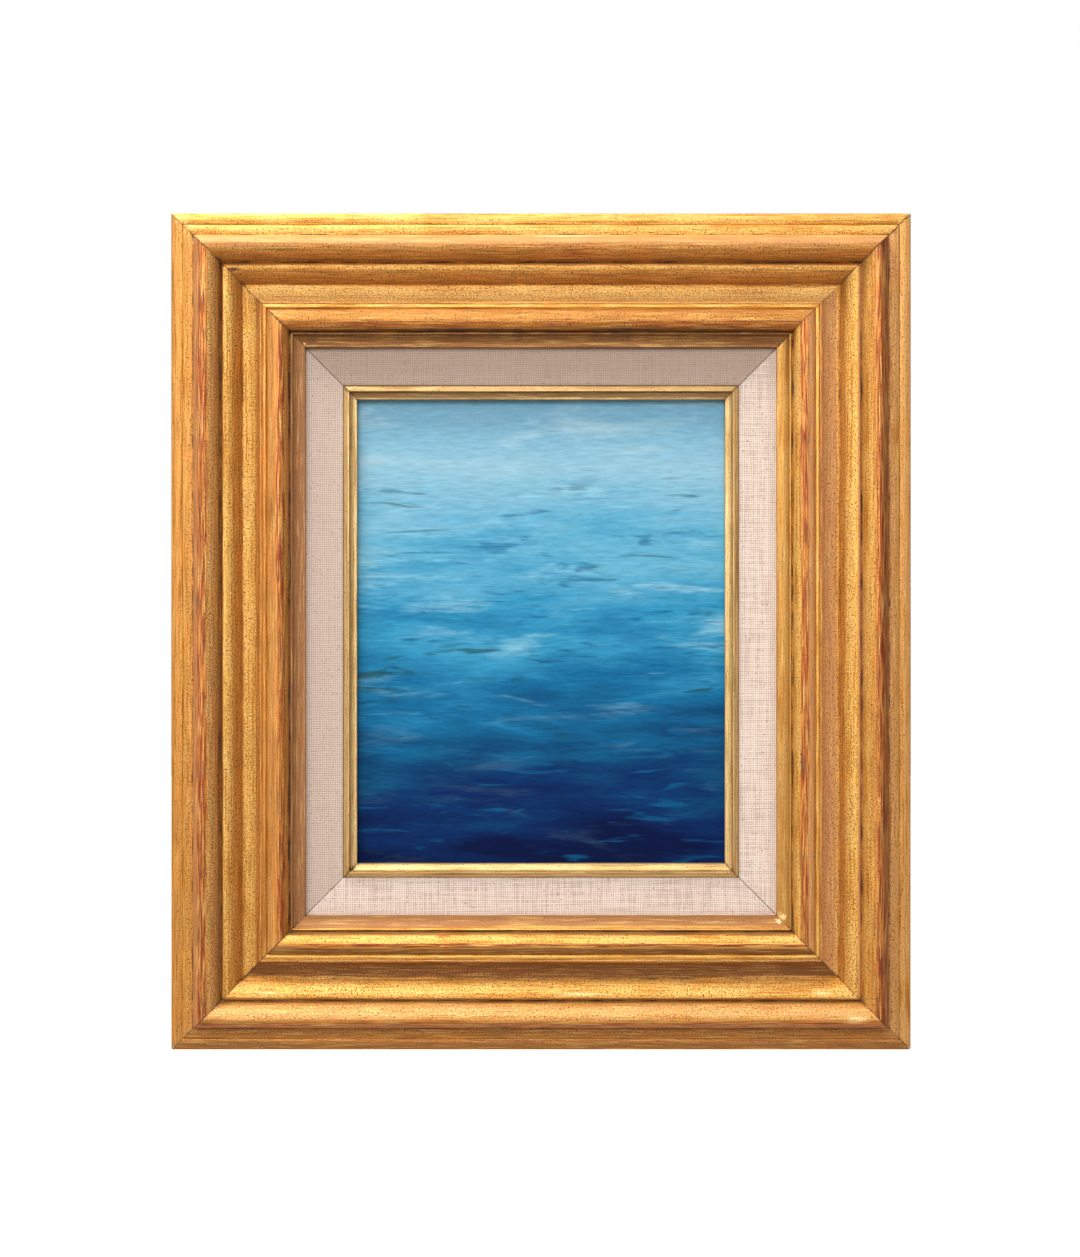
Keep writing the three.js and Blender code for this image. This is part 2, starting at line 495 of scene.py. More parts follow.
@dataclass
class Surface:
    """A rail's mesh as arrays, for relief, wear and painted light that follow the run of the wood."""

    mesh: Mesh
    seed: int

    def __post_init__(self) -> None:
        """Read places, normals and the stored values."""
        self.places = self.read(self.mesh.vertices, "co", 3)
        self.normals = self.read(self.mesh.vertices, "normal", 3)
        self.across = self.stored(ACROSS)
        self.tints = {tint: self.stored(tint.value) for tint in Tint}
        self.along = self.places[:, 0].copy()
        self.inward = self.places[:, 2].max() - self.places[:, 2]
        self.front = np.where(self.places[:, 1] < -FRONT_DEPTH, 1.0, 0.0)

    @staticmethod
    def read(items: bpy.types.bpy_prop_collection, key: str, width: int = 1) -> np.ndarray:
        """Read one property of every item.

        Args:
            items: The vertices or the values stored on them.
            key: The property's name.
            width: How many numbers it has.

        Returns:
            An array with a row for each item, or with one number for each.
        """
        values = np.empty(len(items) * width, dtype=np.float32)
        items.foreach_get(key, values)
        values = values.astype(float)
        return values.reshape(-1, width) if width > 1 else values

    def stored(self, key: str) -> np.ndarray:
        """One stored value of every vertex."""
        return self.read(self.mesh.attributes[key].data, "value")

    @property
    def to_mitre(self) -> np.ndarray:
        """How far each vertex lies from the nearer mitre, along the rail."""
        return np.abs(self.along).max() - self.inward - np.abs(self.along)

    def noise(self, number: int, along: float, across: float) -> np.ndarray:
        """Relief with bumps of the given length along and across the rail."""
        return Unevenness(self.seed * 17 + number, along, across).at(self.along, self.across)

    def raise_by(self, heights: np.ndarray) -> None:
        """Move every vertex out along its normal."""
        self.places += self.normals * heights[:, None]

    def deepen(self, tint: Tint, shares: np.ndarray) -> None:
        """Deepen a tint wherever it is fainter than the shares."""
        self.tints[tint] = np.maximum(self.tints[tint], shares)

    def tone(self, strip: Strip) -> None:
        """Tint a strip whose edges wander and fade a little.

        Args:
            strip: The strip.
        """
        spread = 0.18 * (strip.end - strip.start) + 0.25e-3
        wander = 0.5 * spread * self.noise(60, 70e-3, 4e-3) + 0.3e-3 * self.noise(61, 9e-3, 2e-3)
        inward = self.inward + wander
        into = np.clip((inward - strip.start) / spread + 0.5, 0, 1)
        out = np.clip((strip.end - inward) / spread + 0.5, 0, 1)
        self.deepen(strip.tint, strip.strength * np.minimum(into, out) * self.front)

    def nearness(self, spot: Blemish) -> np.ndarray:
        """Measure how far each vertex lies within a spot with a ragged edge.

        Args:
            spot: The spot.

        Returns:
            From 0 outside it to 1 at its middle.
        """
        along = (self.along - spot.along) / spot.length
        inward = (self.inward - spot.inward) / spot.width
        ragged = 1 + 0.5 * self.noise(90, spot.length, spot.width)
        return np.exp(-((along**2 + inward**2) * ragged) * 2.2)

    def damage(self, spot: Blemish) -> None:
        """Put one spot on the rail, damage or a painted highlight; filler is rough, and the rest is smooth.

        Args:
            spot: The spot.
        """
        tint, share = MARK_TINTS[spot.kind]
        near = self.nearness(spot)
        if spot.kind is Wear.FILLER:
            near *= 1 + 0.6 * self.noise(91, 1.1e-3, 0.9e-3)
        self.deepen(tint, near * share)
        self.raise_by(spot.depth * near)

    def soil_mitres(self, reach: float) -> None:
        """Darken the leaf close to both mitres.

        Args:
            reach: How far from the mitre the dirt has faded to about a third.
        """
        faded = np.exp(-np.maximum(self.to_mitre, 0) / reach)
        self.deepen(Tint.GRIME, faded * (0.55 + 0.5 * self.noise(70, 5e-3, 5e-3)))

    def close_mitres(self, most: float, end: float = 0.4e-3) -> None:
        """Let the ends come closer to their neighbours in some places than in others.

        Args:
            most: How far they move at most.
            end: How far from the mitre a vertex still belongs to the end.
        """
        reach = most * (0.5 + 0.5 * self.noise(71, 1.0, 6e-3)) * (self.to_mitre < end)
        self.places[:, 0] += np.sign(self.along) * reach

    def write(self) -> None:
        """Store the places, the wear and the painted light back on the mesh."""
        self.mesh.vertices.foreach_set("co", self.places.ravel())
        for tint, values in self.tints.items():
            clipped = np.clip(values, 0, 1.5).astype(np.float32)
            self.mesh.attributes[tint.value].data.foreach_set("value", clipped)
        self.mesh.update()


@dataclass(frozen=True)
class Recipe:
    """A procedural material or world, built node by node round its last shader."""

    owner: Material | bpy.types.World
    shader: Node

    @classmethod
    def start(cls, name: str, **inputs: float | Colour) -> "Recipe":
        """Begin a material.

        Args:
            name: The material's name.
            inputs: Constant values of the shader, by socket name with _ for a space.

        Returns:
            The recipe, ready for its nodes.
        """
        material = bpy.data.materials.new(name)
        material.use_nodes = True
        tree = material.node_tree
        tree.nodes.clear()
        shader = tree.nodes.new("ShaderNodeBsdfPrincipled")
        output = tree.nodes.new("ShaderNodeOutputMaterial")
        tree.links.new(shader.outputs["BSDF"], output.inputs["Surface"])
        for key, value in inputs.items():
            shader.inputs[key.replace("_", " ")].default_value = value
        return cls(material, shader)

    def put(self, value: object, socket: NodeSocket) -> None:
        """Link a socket to an input, or set the input to a constant.

        Args:
            value: The socket or the constant.
            socket: The input.
        """
        if isinstance(value, NodeSocket):
            self.owner.node_tree.links.new(value, socket)
        else:
            socket.default_value = value

    def node(self, kind: str, inputs: dict | None = None, **settings: object) -> Node:
        """Add a node.

        Args:
            kind: The node's type without its ShaderNode prefix.
            inputs: Values or sockets for its inputs, by name or number.
            settings: Values of the node's own settings.

        Returns:
            The node.
        """
        made = self.owner.node_tree.nodes.new(f"ShaderNode{kind}")
        for key, value in settings.items():
            setattr(made, key, value)
        for key, value in (inputs or {}).items():
            self.put(value, made.inputs[key])
        return made

    def feed(self, name: str, socket: NodeSocket) -> None:
        """Link a socket to one of the shader's inputs."""
        self.put(socket, self.shader.inputs[name])

    def run(self) -> NodeSocket:
        """The place along and across the rail, in metres."""
        return self.node("UVMap", uv_map=RUN_MAP).outputs["UV"]

    def place(self) -> NodeSocket:
        """The place in the piece's own space, in metres."""
        return self.node("TexCoord").outputs["Object"]

    def axes(self, place: NodeSocket) -> list[NodeSocket]:
        """The three coordinates of a place."""
        return list(self.node("SeparateXYZ", {"Vector": place}).outputs)

    def stored(self, tint: Tint) -> NodeSocket:
        """The share of a tint that is stored on the mesh."""
        return self.node("Attribute", attribute_name=tint.value).outputs["Fac"]

    def noise(
        self,
        vector: NodeSocket,
        cells: tuple[float, ...],
        detail: float = 2.0,
        roughness: float = 0.5,
        distortion: float = 0.0,
    ) -> NodeSocket:
        """Fractal noise with cells of the given size in metres.

        Args:
            vector: The place.
            cells: The size of a cell each way; two sizes give flat noise.
            detail: The number of finer layers.
            roughness: How strong the finer layers are.
            distortion: How much the cells are warped.

        Returns:
            The noise, about 0.5 on the whole.
        """
        scale = tuple(1 / size for size in cells) + (1.0,) * (3 - len(cells))
        values = {
            "Vector": self.node("Mapping", {"Vector": vector, "Scale": scale}).outputs["Vector"],
            "Scale": 1.0,
            "Detail": detail,
            "Roughness": roughness,
            "Distortion": distortion,
        }
        return self.node("TexNoise", values, noise_dimensions=f"{len(cells)}D").outputs["Fac"]

    def total(self, *terms: tuple[NodeSocket, float]) -> NodeSocket:
        """Sum up some values.

        Args:
            terms: Each value with its weight.

        Returns:
            The weighted sum.
        """
        first, weight = terms[0]
        found = first if weight == 1.0 else self.math("MULTIPLY", first, weight)
        for value, weight in terms[1:]:
            found = self.math("MULTIPLY_ADD", value, weight, found)
        return found

    def math(self, operation: str, *values: object) -> NodeSocket:
        """A sum of numbers or sockets."""
        return self.node("Math", dict(enumerate(values)), operation=operation).outputs[0]

    def between(
        self, value: NodeSocket, low: float, high: float, bottom: float = 0, top: float = 1
    ) -> NodeSocket:
        """Let a value rise smoothly.

        Args:
            value: What the rise follows.
            low: The value where it starts.
            high: The value where it ends.
            bottom: What it starts from.
            top: What it ends at.

        Returns:
            The risen value.
        """
        numbers = {"Value": value, "From Min": low, "From Max": high, "To Min": bottom, "To Max": top}
        return self.node("MapRange", numbers, interpolation_type="SMOOTHSTEP").outputs["Result"]

    def mix(self, share: object, first: object, second: object) -> NodeSocket:
        """Mix two colours.

        Args:
            share: How much of the second there is, from 0 to 1.
            first: The first colour.
            second: The second colour.

        Returns:
            The mixed colour.
        """
        return self.node("Mix", {0: share, 6: first, 7: second}, data_type="RGBA").outputs[2]

    def ramp(self, value: NodeSocket, stops: list[tuple[float, Colour]]) -> NodeSocket:
        """Read a colour off a row of stops.

        Args:
            value: Where to read it.
            stops: Each stop's place and colour.

        Returns:
            The colour.
        """
        made = self.node("ValToRGB", {"Fac": value})
        elements = made.color_ramp.elements
        while len(elements) < len(stops):
            elements.new(1.0)
        for element, (place, colour) in zip(elements, stops):
            element.position = place
            element.color = colour
        return made.outputs["Color"]

    def scaled(self, colour: NodeSocket, share: NodeSocket) -> NodeSocket:
        """A colour made darker or lighter by a share."""
        return self.node("VectorMath", {0: colour, 1: share}, operation="MULTIPLY").outputs[0]

    def ribs(self, value: NodeSocket, pitch: float = 1.0) -> NodeSocket:
        """Round ribs from 0 to 1, a pitch apart."""
        return self.math("ABSOLUTE", self.math("SINE", self.math("MULTIPLY", value, pi / pitch)))

    def relief(self, height: NodeSocket, depth: float, strength: float = 1.0) -> None:
        """Give the shader a bump of the given depth in metres."""
        values = {"Height": height, "Distance": depth, "Strength": strength}
        self.feed("Normal", self.node("Bump", values).outputs["Normal"])


@dataclass(frozen=True)
class Finish:
    """A procedural material; each kind of finish lays its own nodes."""

    name: str
    constants: ClassVar[dict[str, float]] = {}

    def make(self) -> Material:
        """Build the material.

        Returns:
            The material.
        """
        recipe = Recipe.start(self.name, **self.constants)
        self.lay(recipe)
        return recipe.owner

    def lay(self, r: Recipe) -> None:
        """Lay the nodes.

        Args:
            r: The material's recipe.
        """
        raise NotImplementedError


@dataclass(frozen=True)
class Gilding(Finish):
    """Old leaf over red bole: granular, streaked along the wood, toned in strips and in the hollows; many
    of the strips are painted shade, highlights and reflections.
    """

    bright: Colour
    middle: Colour
    deep: Colour
    bole: Colour
    rose: Colour
    amber: Colour
    umber: Colour
    toning: Colour
    # The filler colour also paints the highlights that the pale layer holds.
    filler: Colour
    metallic: float = 0.6
    roughness: float = 0.36

    def lay(self, r: Recipe) -> None:
        """Lay the leaf, then its tones, its dirt, its painted highlight streaks and its polish; many of the
        tones are painted shade, highlights and reflections.

        Args:
            r: The material's recipe.
        """
        run = r.run()
        streak = r.noise(run, (80e-3, 1.2e-3), 3.0, 0.62)
        hair = r.noise(run, (22e-3, 0.75e-3), 2.0, 0.6)
        mottle = r.noise(run, (34e-3, 10e-3), 3.0, 0.55)
        grain = r.noise(run, (0.85e-3, 0.66e-3), 2.0, 0.75)
        glint_streaks = r.noise(run, (26e-3, 0.9e-3), 2.0, 0.6)
        coarse = r.between(r.stored(Tint.SPECKLE), 0, 1, 0.12, 0.26)
        rough = r.math("MULTIPLY", r.between(grain, 0.36, 0.66, -0.5, 0.5), coarse)
        tone = r.total((streak, 0.4), (hair, 0.24), (mottle, 0.36), (rough, 0.8))
        leaf = r.ramp(tone, [(0.36, self.deep), (0.49, self.middle), (0.62, self.bright)])
        worn = r.total((streak, 0.8), (hair, 0.8), (mottle, 0.5), (rough, 0.8))
        toned = self.toned(r, leaf, hair, worn)
        lines = r.between(r.total((hair, 0.6), (streak, 0.4), (rough, 0.5)), 0.38, 0.62, -0.26, 0.16)
        streaky = r.between(r.math("ADD", r.stored(Tint.BOLE), r.stored(Tint.AMBER)), 0.0, 0.6, 0.35, 1.15)
        toned = r.scaled(toned, r.math("MULTIPLY_ADD", lines, streaky, 1.0))
        # Painted highlight: thin streaks of the bright leaf colour where the bole shows.
        bare = r.between(r.stored(Tint.BOLE), 0.1, 0.8, 0.25, 0.42)
        lit = r.math("MULTIPLY", r.between(glint_streaks, 0.55, 0.68), bare)
        toned = r.mix(lit, toned, self.bright)
        soiled = self.soiled(r, hair, mottle, grain)
        # The pale layer mixes in the filler colour, both for filler and for painted highlights.
        filler_and_highlight = r.between(r.total((r.stored(Tint.PALE), 1.0), (grain, 1.2)), 0.85, 1.4, 0.0, 0.8)
        r.feed("Base Color", r.mix(filler_and_highlight, r.mix(soiled, toned, self.toning), self.filler))
        covered = r.math("MAXIMUM", soiled, filler_and_highlight)
        dull = r.math("MAXIMUM", r.between(r.stored(Tint.ROSE), 0, 1, 0, 0.6), covered)
        r.feed("Metallic", r.between(dull, 0.0, 1.0, self.metallic, 0.0))
        fine = r.noise(run, (0.7e-3, 0.6e-3), 1.0)
        r.feed("Roughness", r.total((fine, 0.2), (r.between(dull, 0, 1, self.roughness, 0.7), 1.0)))
        r.relief(r.total((streak, 0.5), (hair, 0.45), (rough, 1.6), (glint_streaks, 0.3)), 0.3e-3, 0.7)

    def toned(self, r: Recipe, colour: NodeSocket, hair: NodeSocket, worn: NodeSocket) -> NodeSocket:
        """Tone the leaf in its strips, with ragged edges: rubbed bole, umber painted shade, and amber and
        rose tones that also paint shade and reflections.

        Args:
            r: The material's recipe.
            colour: The leaf's colour.
            hair: The fine streaks.
            worn: Where the leaf is worn first.

        Returns:
            The toned colour.
        """
        rubbed = r.mix(r.between(hair, 0.4, 0.62), self.bole, self.amber)
        for tint, shade, weight, raggedness in (
            (Tint.ROSE, self.rose, 0.75, 1.5),
            (Tint.AMBER, self.amber, 0.85, 1.1),
            (Tint.UMBER, self.umber, 0.85, 0.4),
            (Tint.BOLE, rubbed, 0.95, 1.5),
        ):
            least = 1.05 * raggedness + 0.02
            reached = r.total((r.stored(tint), 1.1), (worn, raggedness))
            colour = r.mix(r.between(reached, least, least + 0.75, 0.0, weight), colour, shade)
        return colour

    @staticmethod
    def soiled(r: Recipe, hair: NodeSocket, mottle: NodeSocket, grain: NodeSocket) -> NodeSocket:
        """Gather the dirt in the hollows, the painted shade in the top sight cove, the fly specks and the
        dark hairlines.

        Args:
            r: The material's recipe.
            hair: The fine streaks.
            mottle: The broad patches.
            grain: The leaf's grain.

        Returns:
            The share of dirt and painted shade.
        """
        run = r.run()
        # The grime layer holds painted shade in the top sight cove as well as dirt.
        hollow_dirt_and_shade = r.between(r.total((r.stored(Tint.GRIME), 1.0), (grain, 2.0), (hair, 0.8)), 1.85, 2.3)
        fly = r.noise(run, (1.1e-3, 0.9e-3), 1.0)
        flecked = r.total((fly, 1.0), (r.stored(Tint.SPECKLE), 0.07), (mottle, 0.12))
        specks = r.between(flecked, 0.76, 0.82, 0.0, 0.85)
        dark_hair = r.noise(run, (18e-3, 0.8e-3), 1.0)
        bare = r.between(r.stored(Tint.BOLE), 0.1, 0.8, 0.15, 0.65)
        lined = r.math("MULTIPLY", r.between(dark_hair, 0.58, 0.72), bare)
        return r.math("MAXIMUM", r.math("MAXIMUM", hollow_dirt_and_shade, specks), lined)


@dataclass(frozen=True)
class SidePaint(Finish):
    """Ochre wash over the gesso on the frame's outer sides, thinner towards the back."""

    ochre: Colour
    shade: Colour
    wood: Colour

    def lay(self, r: Recipe) -> None:
        """Lay the wash and the wood that shows through it.

        Args:
            r: The material's recipe.
        """
        run = r.run()
        brushed = r.noise(run, (60e-3, 0.9e-3), 4.0, 0.6)
        mottle = r.noise(run, (30e-3, 8e-3), 3.0, 0.6)
        tone = r.total((brushed, 0.6), (mottle, 0.4))
        colour = r.mix(r.between(tone, 0.38, 0.62), self.shade, self.ochre)
        back = r.between(r.axes(run)[1], 0.0, 9e-3, 1.0, 0.0)
        thin = r.total((back, 1.0), (brushed, 1.1), (mottle, 0.5))
        r.feed("Base Color", r.mix(r.between(thin, 1.25, 1.6), colour, self.wood))
        r.feed("Roughness", r.between(brushed, 0.3, 0.7, 0.5, 0.7))
        r.relief(tone, 0.2e-3, 0.5)


@dataclass(frozen=True)
class Softwood(Finish):
    """Planed softwood; its grain runs where the cells of its rings and its fibres are long.

    With cells of two sizes it follows a stick's run map, with cells of three the piece's own space.
    """

    pale: Colour
    dark: Colour
    rings: tuple[float, ...]
    fibres: tuple[float, ...]
    stain: Colour | None = None

    def lay(self, r: Recipe) -> None:
        """Lay the rings and the fibres, and the stain where there is one.

        Args:
            r: The material's recipe.
        """
        place = r.run() if len(self.rings) == 2 else r.place()
        rings = r.noise(place, self.rings, 3.0, 0.55, 0.5)
        fibre = r.noise(place, self.fibres, 2.0, 0.6)
        tone = r.total((rings, 0.72), (fibre, 0.28))
        colour = r.mix(r.between(tone, 0.38, 0.62), self.dark, self.pale)
        if self.stain:
            smudge = r.noise(place, (50e-3, 24e-3), 3.0, 0.6)
            colour = r.mix(r.between(smudge, 0.5, 0.78, 0.0, 0.35), colour, self.stain)
        r.feed("Base Color", colour)
        r.feed("Roughness", r.between(fibre, 0.3, 0.7, 0.62, 0.8))
        r.relief(fibre, 0.15e-3, 0.6)


@dataclass(frozen=True)
class Linen(Finish):
    """Natural plain-weave linen, glued down with its threads along and across the rail."""

    thread: Colour
    slub: Colour
    knot: Colour
    aged: Colour
    pitch: tuple[float, float] = (1.25e-3, 1.2e-3)
    constants: ClassVar[dict[str, float]] = {"Roughness": 0.9, "Sheen_Weight": 0.1}

    def lay(self, r: Recipe) -> None:
        """Lay the threads, the slubs, the painted shade, the knots and the weave.

        Args:
            r: The material's recipe.
        """
        run = r.run()
        across, up, _ = r.axes(run)
        sway = r.noise(run, (11e-3, 9e-3), 2.0)
        upright = r.ribs(r.total((across, 1 / self.pitch[0]), (sway, 0.45)))
        level = r.ribs(r.total((up, 1 / self.pitch[1]), (sway, 0.4)))
        cloth = r.math("MULTIPLY", upright, level)
        thick = r.noise(run, (1.25e-3, 22e-3), 2.0, 0.6)
        long = r.noise(run, (28e-3, 1.2e-3), 2.0, 0.6)
        tone = r.total((thick, 0.5), (long, 0.5))
        colour = r.mix(r.between(tone, 0.3, 0.66), self.slub, self.thread)
        # Painted shade: the linen darkens to the shade tone where the stored shade lies.
        shaded = r.total((r.stored(Tint.UMBER), 1.0), (long, 0.5), (thick, 0.5))
        colour = r.mix(r.between(shaded, 0.42, 1.5, 0.0, 0.9), colour, self.aged)
        knots = r.noise(run, (1.9e-3, 1.2e-3), 1.0)
        colour = r.mix(r.between(knots, 0.70, 0.77, 0.0, 0.6), colour, self.knot)
        r.feed("Base Color", r.scaled(colour, r.between(cloth, 0.8, 0.1, 1.0, 0.62)))
        r.relief(r.total((cloth, 1.0), (tone, 0.8)), 0.3e-3, 0.7)


@dataclass(frozen=True)
class Cloth(Finish):
    """Unpainted canvas seen on the turned edges and from behind."""

    pale: Colour
    dark: Colour
    pitch: float = 0.75e-3
    constants: ClassVar[dict[str, float]] = Linen.constants

    def lay(self, r: Recipe) -> None:
        """Lay the weave, the slubs and the stains.

        Args:
            r: The material's recipe.
        """
        place = r.place()
        threads = [r.ribs(axis, self.pitch) for axis in r.axes(place)]
        cloth = r.math("MULTIPLY", r.math("MAXIMUM", threads[0], threads[1]), threads[2])
        slub = r.noise(place, (1.5e-3, 1.5e-3, 18e-3), 2.0)
        stain = r.noise(place, (45e-3, 45e-3, 45e-3), 3.0)
        tone = r.total((slub, 0.4), (stain, 0.6))
        colour = r.mix(r.between(tone, 0.3, 0.66, 0.1, 0.9), self.dark, self.pale)
        r.feed("Base Color", r.mix(r.between(cloth, 0.0, 0.5, 0.5, 0.0), colour, self.dark))
        r.relief(cloth, 0.2e-3, 0.5)


@dataclass(frozen=True)
class Steel(Finish):
    """Bright drawn wire, a little dulled."""

    colour: Colour
    tarnish: Colour
    constants: ClassVar[dict[str, float]] = {"Metallic": 1.0}

    def lay(self, r: Recipe) -> None:
        """Lay the tarnish.

        Args:
            r: The material's recipe.
        """
        dulled = r.noise(r.place(), (2e-3, 2e-3, 2e-3), 3.0)
        r.feed("Base Color", r.mix(r.between(dulled, 0.4, 0.7), self.colour, self.tarnish))
        r.feed("Roughness", r.between(dulled, 0.3, 0.7, 0.28, 0.6))


@dataclass(frozen=True)
class SeaPicture(Finish):
    """A generic sea view in thin, soft oil paint: hazy sky, far horizon and a rolling swell."""

    centre: Vector
    width: float
    height: float
    horizon: float = 0.83
    weave: float = 0.6e-3
    constants: ClassVar[dict[str, float]] = {"Roughness": 0.55, "Specular_IOR_Level": 0.06}

    def lay(self, r: Recipe) -> None:
        """Lay the sky, the sea, the brush marks and the canvas's weave.

        Args:
            r: The material's recipe.
        """
        to_centre = {"Vector": r.place(), "Location": tuple(-self.centre)}
        place = r.node("Mapping", to_centre, vector_type="POINT").outputs["Vector"]
        x, _, z = r.axes(place)
        u = r.math("DIVIDE", x, self.width)
        v = r.math("MULTIPLY_ADD", z, 1 / self.height, 0.5)
        brush = r.noise(place, (11e-3, 1, 1.5e-3), 3.0, 0.6, 0.35)
        haze = r.between(v, self.horizon - 0.05, self.horizon + 0.02)
        colour = r.mix(haze, self.sea(r, place, u, v, brush), self.sky(r, place, v))
        r.feed("Base Color", r.scaled(colour, r.between(brush, 0.3, 0.7, 0.66, 0.8)))
        woven = r.math("MULTIPLY", r.ribs(x, self.weave), r.ribs(z, self.weave))
        tooth = r.noise(place, (0.9e-3, 1, 0.9e-3), 2.0)
        r.relief(r.total((brush, 0.8), (woven, 0.25), (tooth, 0.5)), 0.16e-3, 0.6)

    @staticmethod
    def sky(r: Recipe, place: NodeSocket, v: NodeSocket) -> NodeSocket:
        """Colour the sky, pale with long soft clouds.

        Args:
            r: The material's recipe.
            place: The place from the picture's centre, in metres.
            v: The place up the picture, 0 to 1.

        Returns:
            The colour.
        """
        stops = [(0.8, srgb("9CC9DB")), (0.9, srgb("83B9D2")), (1.0, srgb("74A9C6"))]
        cloud = r.noise(place, (75e-3, 1, 13e-3), 4.0, 0.55, 0.8)
        return r.mix(r.between(cloud, 0.46, 0.7, 0.0, 0.6), r.ramp(v, stops), srgb("B4D3DC"))

    def sea(
        self, r: Recipe, place: NodeSocket, u: NodeSocket, v: NodeSocket, brush: NodeSocket
    ) -> NodeSocket:
        """Colour the sea, with a swell that narrows towards the horizon.

        Args:
            r: The material's recipe.
            place: The place from the picture's centre, in metres.
            u: The place across the picture, -0.5 to 0.5.
            v: The place up the picture, 0 to 1.
            brush: The brush marks, which break the colour up.

        Returns:
            The colour.
        """
        stops = [
            (0.0, srgb("021240")),
            (0.12, srgb("032A60")),
            (0.25, srgb("074874")),
            (0.38, srgb("136D9C")),
            (0.52, srgb("3493BC")),
            (0.68, srgb("62AECD")),
            (0.82, srgb("82BBD3")),
        ]
        away = r.math("DIVIDE", 1.0, r.math("ADD", r.math("SUBTRACT", self.horizon, v), 0.16))
        plane = r.node("CombineXYZ", {"X": r.math("MULTIPLY", u, away), "Y": away}).outputs["Vector"]
        swell = r.noise(plane, (0.7, 0.2, 1), 3.0, 0.55, 0.4)
        drift = r.noise(place, (110e-3, 1, 34e-3), 2.0)
        bank = r.noise(place, (75e-3, 1, 13e-3), 2.0, 0.5, 0.6)
        deep = r.total((v, 1.0), (brush, 0.06), (swell, 0.14), (drift, 0.34), (bank, 0.34))
        colour = r.ramp(r.math("SUBTRACT", deep, 0.44), stops)
        crests = r.noise(place, (64e-3, 1, 9e-3), 2.0, 0.5, 0.7)
        lit = r.between(r.total((crests, 1.0), (brush, 0.2)), 0.64, 0.86, 0.0, 0.5)
        colour = r.mix(r.math("MULTIPLY", lit, r.between(v, 0.2, 0.6, 0.1, 1.0)), colour, srgb("A4D4E2"))
        troughs = r.noise(place, (38e-3, 1, 5.6e-3), 2.0, 0.5, 0.9)
        dark = r.between(r.total((troughs, 1.0), (brush, 0.12)), 0.48, 0.34, 0.0, 0.9)
        depth = r.mix(r.between(drift, 0.5, 0.62), srgb("0A5C8C"), srgb("1E4438"))
        return r.mix(r.math("MULTIPLY", dark, r.between(v, 0.1, 0.8, 0.8, 0.6)), colour, depth)


def stand(name: str, data: bpy.types.ID) -> Object:
    """Put an object into the scene.

    Args:
        name: Its name.
        data: Its mesh, light or camera.

    Returns:
        The object.
    """
    made = bpy.data.objects.new(name, data)
    bpy.context.scene.collection.objects.link(made)
    return made


def piece_of(mesh: Mesh, materials: list[Material]) -> Object:
    """Make a piece of a finished mesh, and let it ride with the frame.

    Args:
        mesh: The mesh, in its place.
        materials: Its materials, in the order of its faces' numbers.

    Returns:
        The piece.
    """
    mesh.set_sharp_from_angle(angle=SHARP_ANGLE)
    for material in materials:
        mesh.materials.append(material)
    piece = stand(mesh.name, mesh)
    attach(piece, BODY)
    LOG.info("%s: %d faces", mesh.name, len(mesh.polygons))
    return piece


def finish(mesh: Mesh, rail: Rail, materials: list[Material]) -> None:
    """Turn a rail to its side of the ring and hand it to the frame.

    Args:
        mesh: The rail's mesh, modelled as the top one.
        rail: The rail.
        materials: The finish of its front, its rear and its outer side.
    """
    turn = Matrix.Rotation(radians(rail.side.value), 4, "Y")
    mesh.transform(Matrix.Translation(rail.ring.centre) @ turn)
    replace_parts(piece_of(mesh, materials), rail.ring.name(rail.side))


@dataclass
class Surround:
    """Four mitred rails round the picture; each kind has its own section, its own wear and its own painted
    light.
    """

    ring: Ring
    label: ClassVar[str]
    slot: ClassVar[str]
    pitch: ClassVar[float]
    gap: ClassVar[float] = MITRE_GAP

    def section(self) -> Section:
        """Draw the rails' section."""
        raise NotImplementedError

    def weather(self, mesh: Mesh, side: Side) -> None:
        """Give the rail on a side its relief, its wear and its painted light."""
        raise NotImplementedError

    def build(self, front: Material, rear: Material, edge: Material) -> None:
        """Model and dress the four rails.

        Args:
            front: The finish of the front.
            rear: The finish of the rear.
            edge: The finish of the outer side.
        """
        for side in Side:
            rail = Rail(self.ring, side, self.section(), self.pitch, f"{self.label}_{side.word}", self.gap)
            mesh = rail.build()
            self.weather(mesh, side)
            finish(mesh, rail, [front, rear, edge])


Tone = tuple[str, Tint, float, float, float]

COMMON_TONES: list[Tone] = [
    ("inner_band", Tint.GRIME, 0.88, 1.05, 0.85),
    ("quirk", Tint.GRIME, 0.05, 0.95, 0.95),
    ("sight_quirk", Tint.GRIME, 0.0, 1.1, 0.95),
    ("crease", Tint.GRIME, -0.2, 1.2, 0.6),
    ("outer_band", Tint.SPECKLE, 0.5, 1.1, 0.5),
    ("inner_band", Tint.SPECKLE, 0.2, 1.2, 0.9),
    ("ridge", Tint.SPECKLE, 0.5, 1.1, 0.8),
    ("swell", Tint.SPECKLE, 0.0, 1.1, 1.0),
    ("cove", Tint.SPECKLE, -0.1, 1.1, 1.0),
    ("torus", Tint.SPECKLE, 0.6, 1.0, 0.6),
    ("cove_shelf", Tint.ROSE, 0.0, 1.0, 0.5),
]
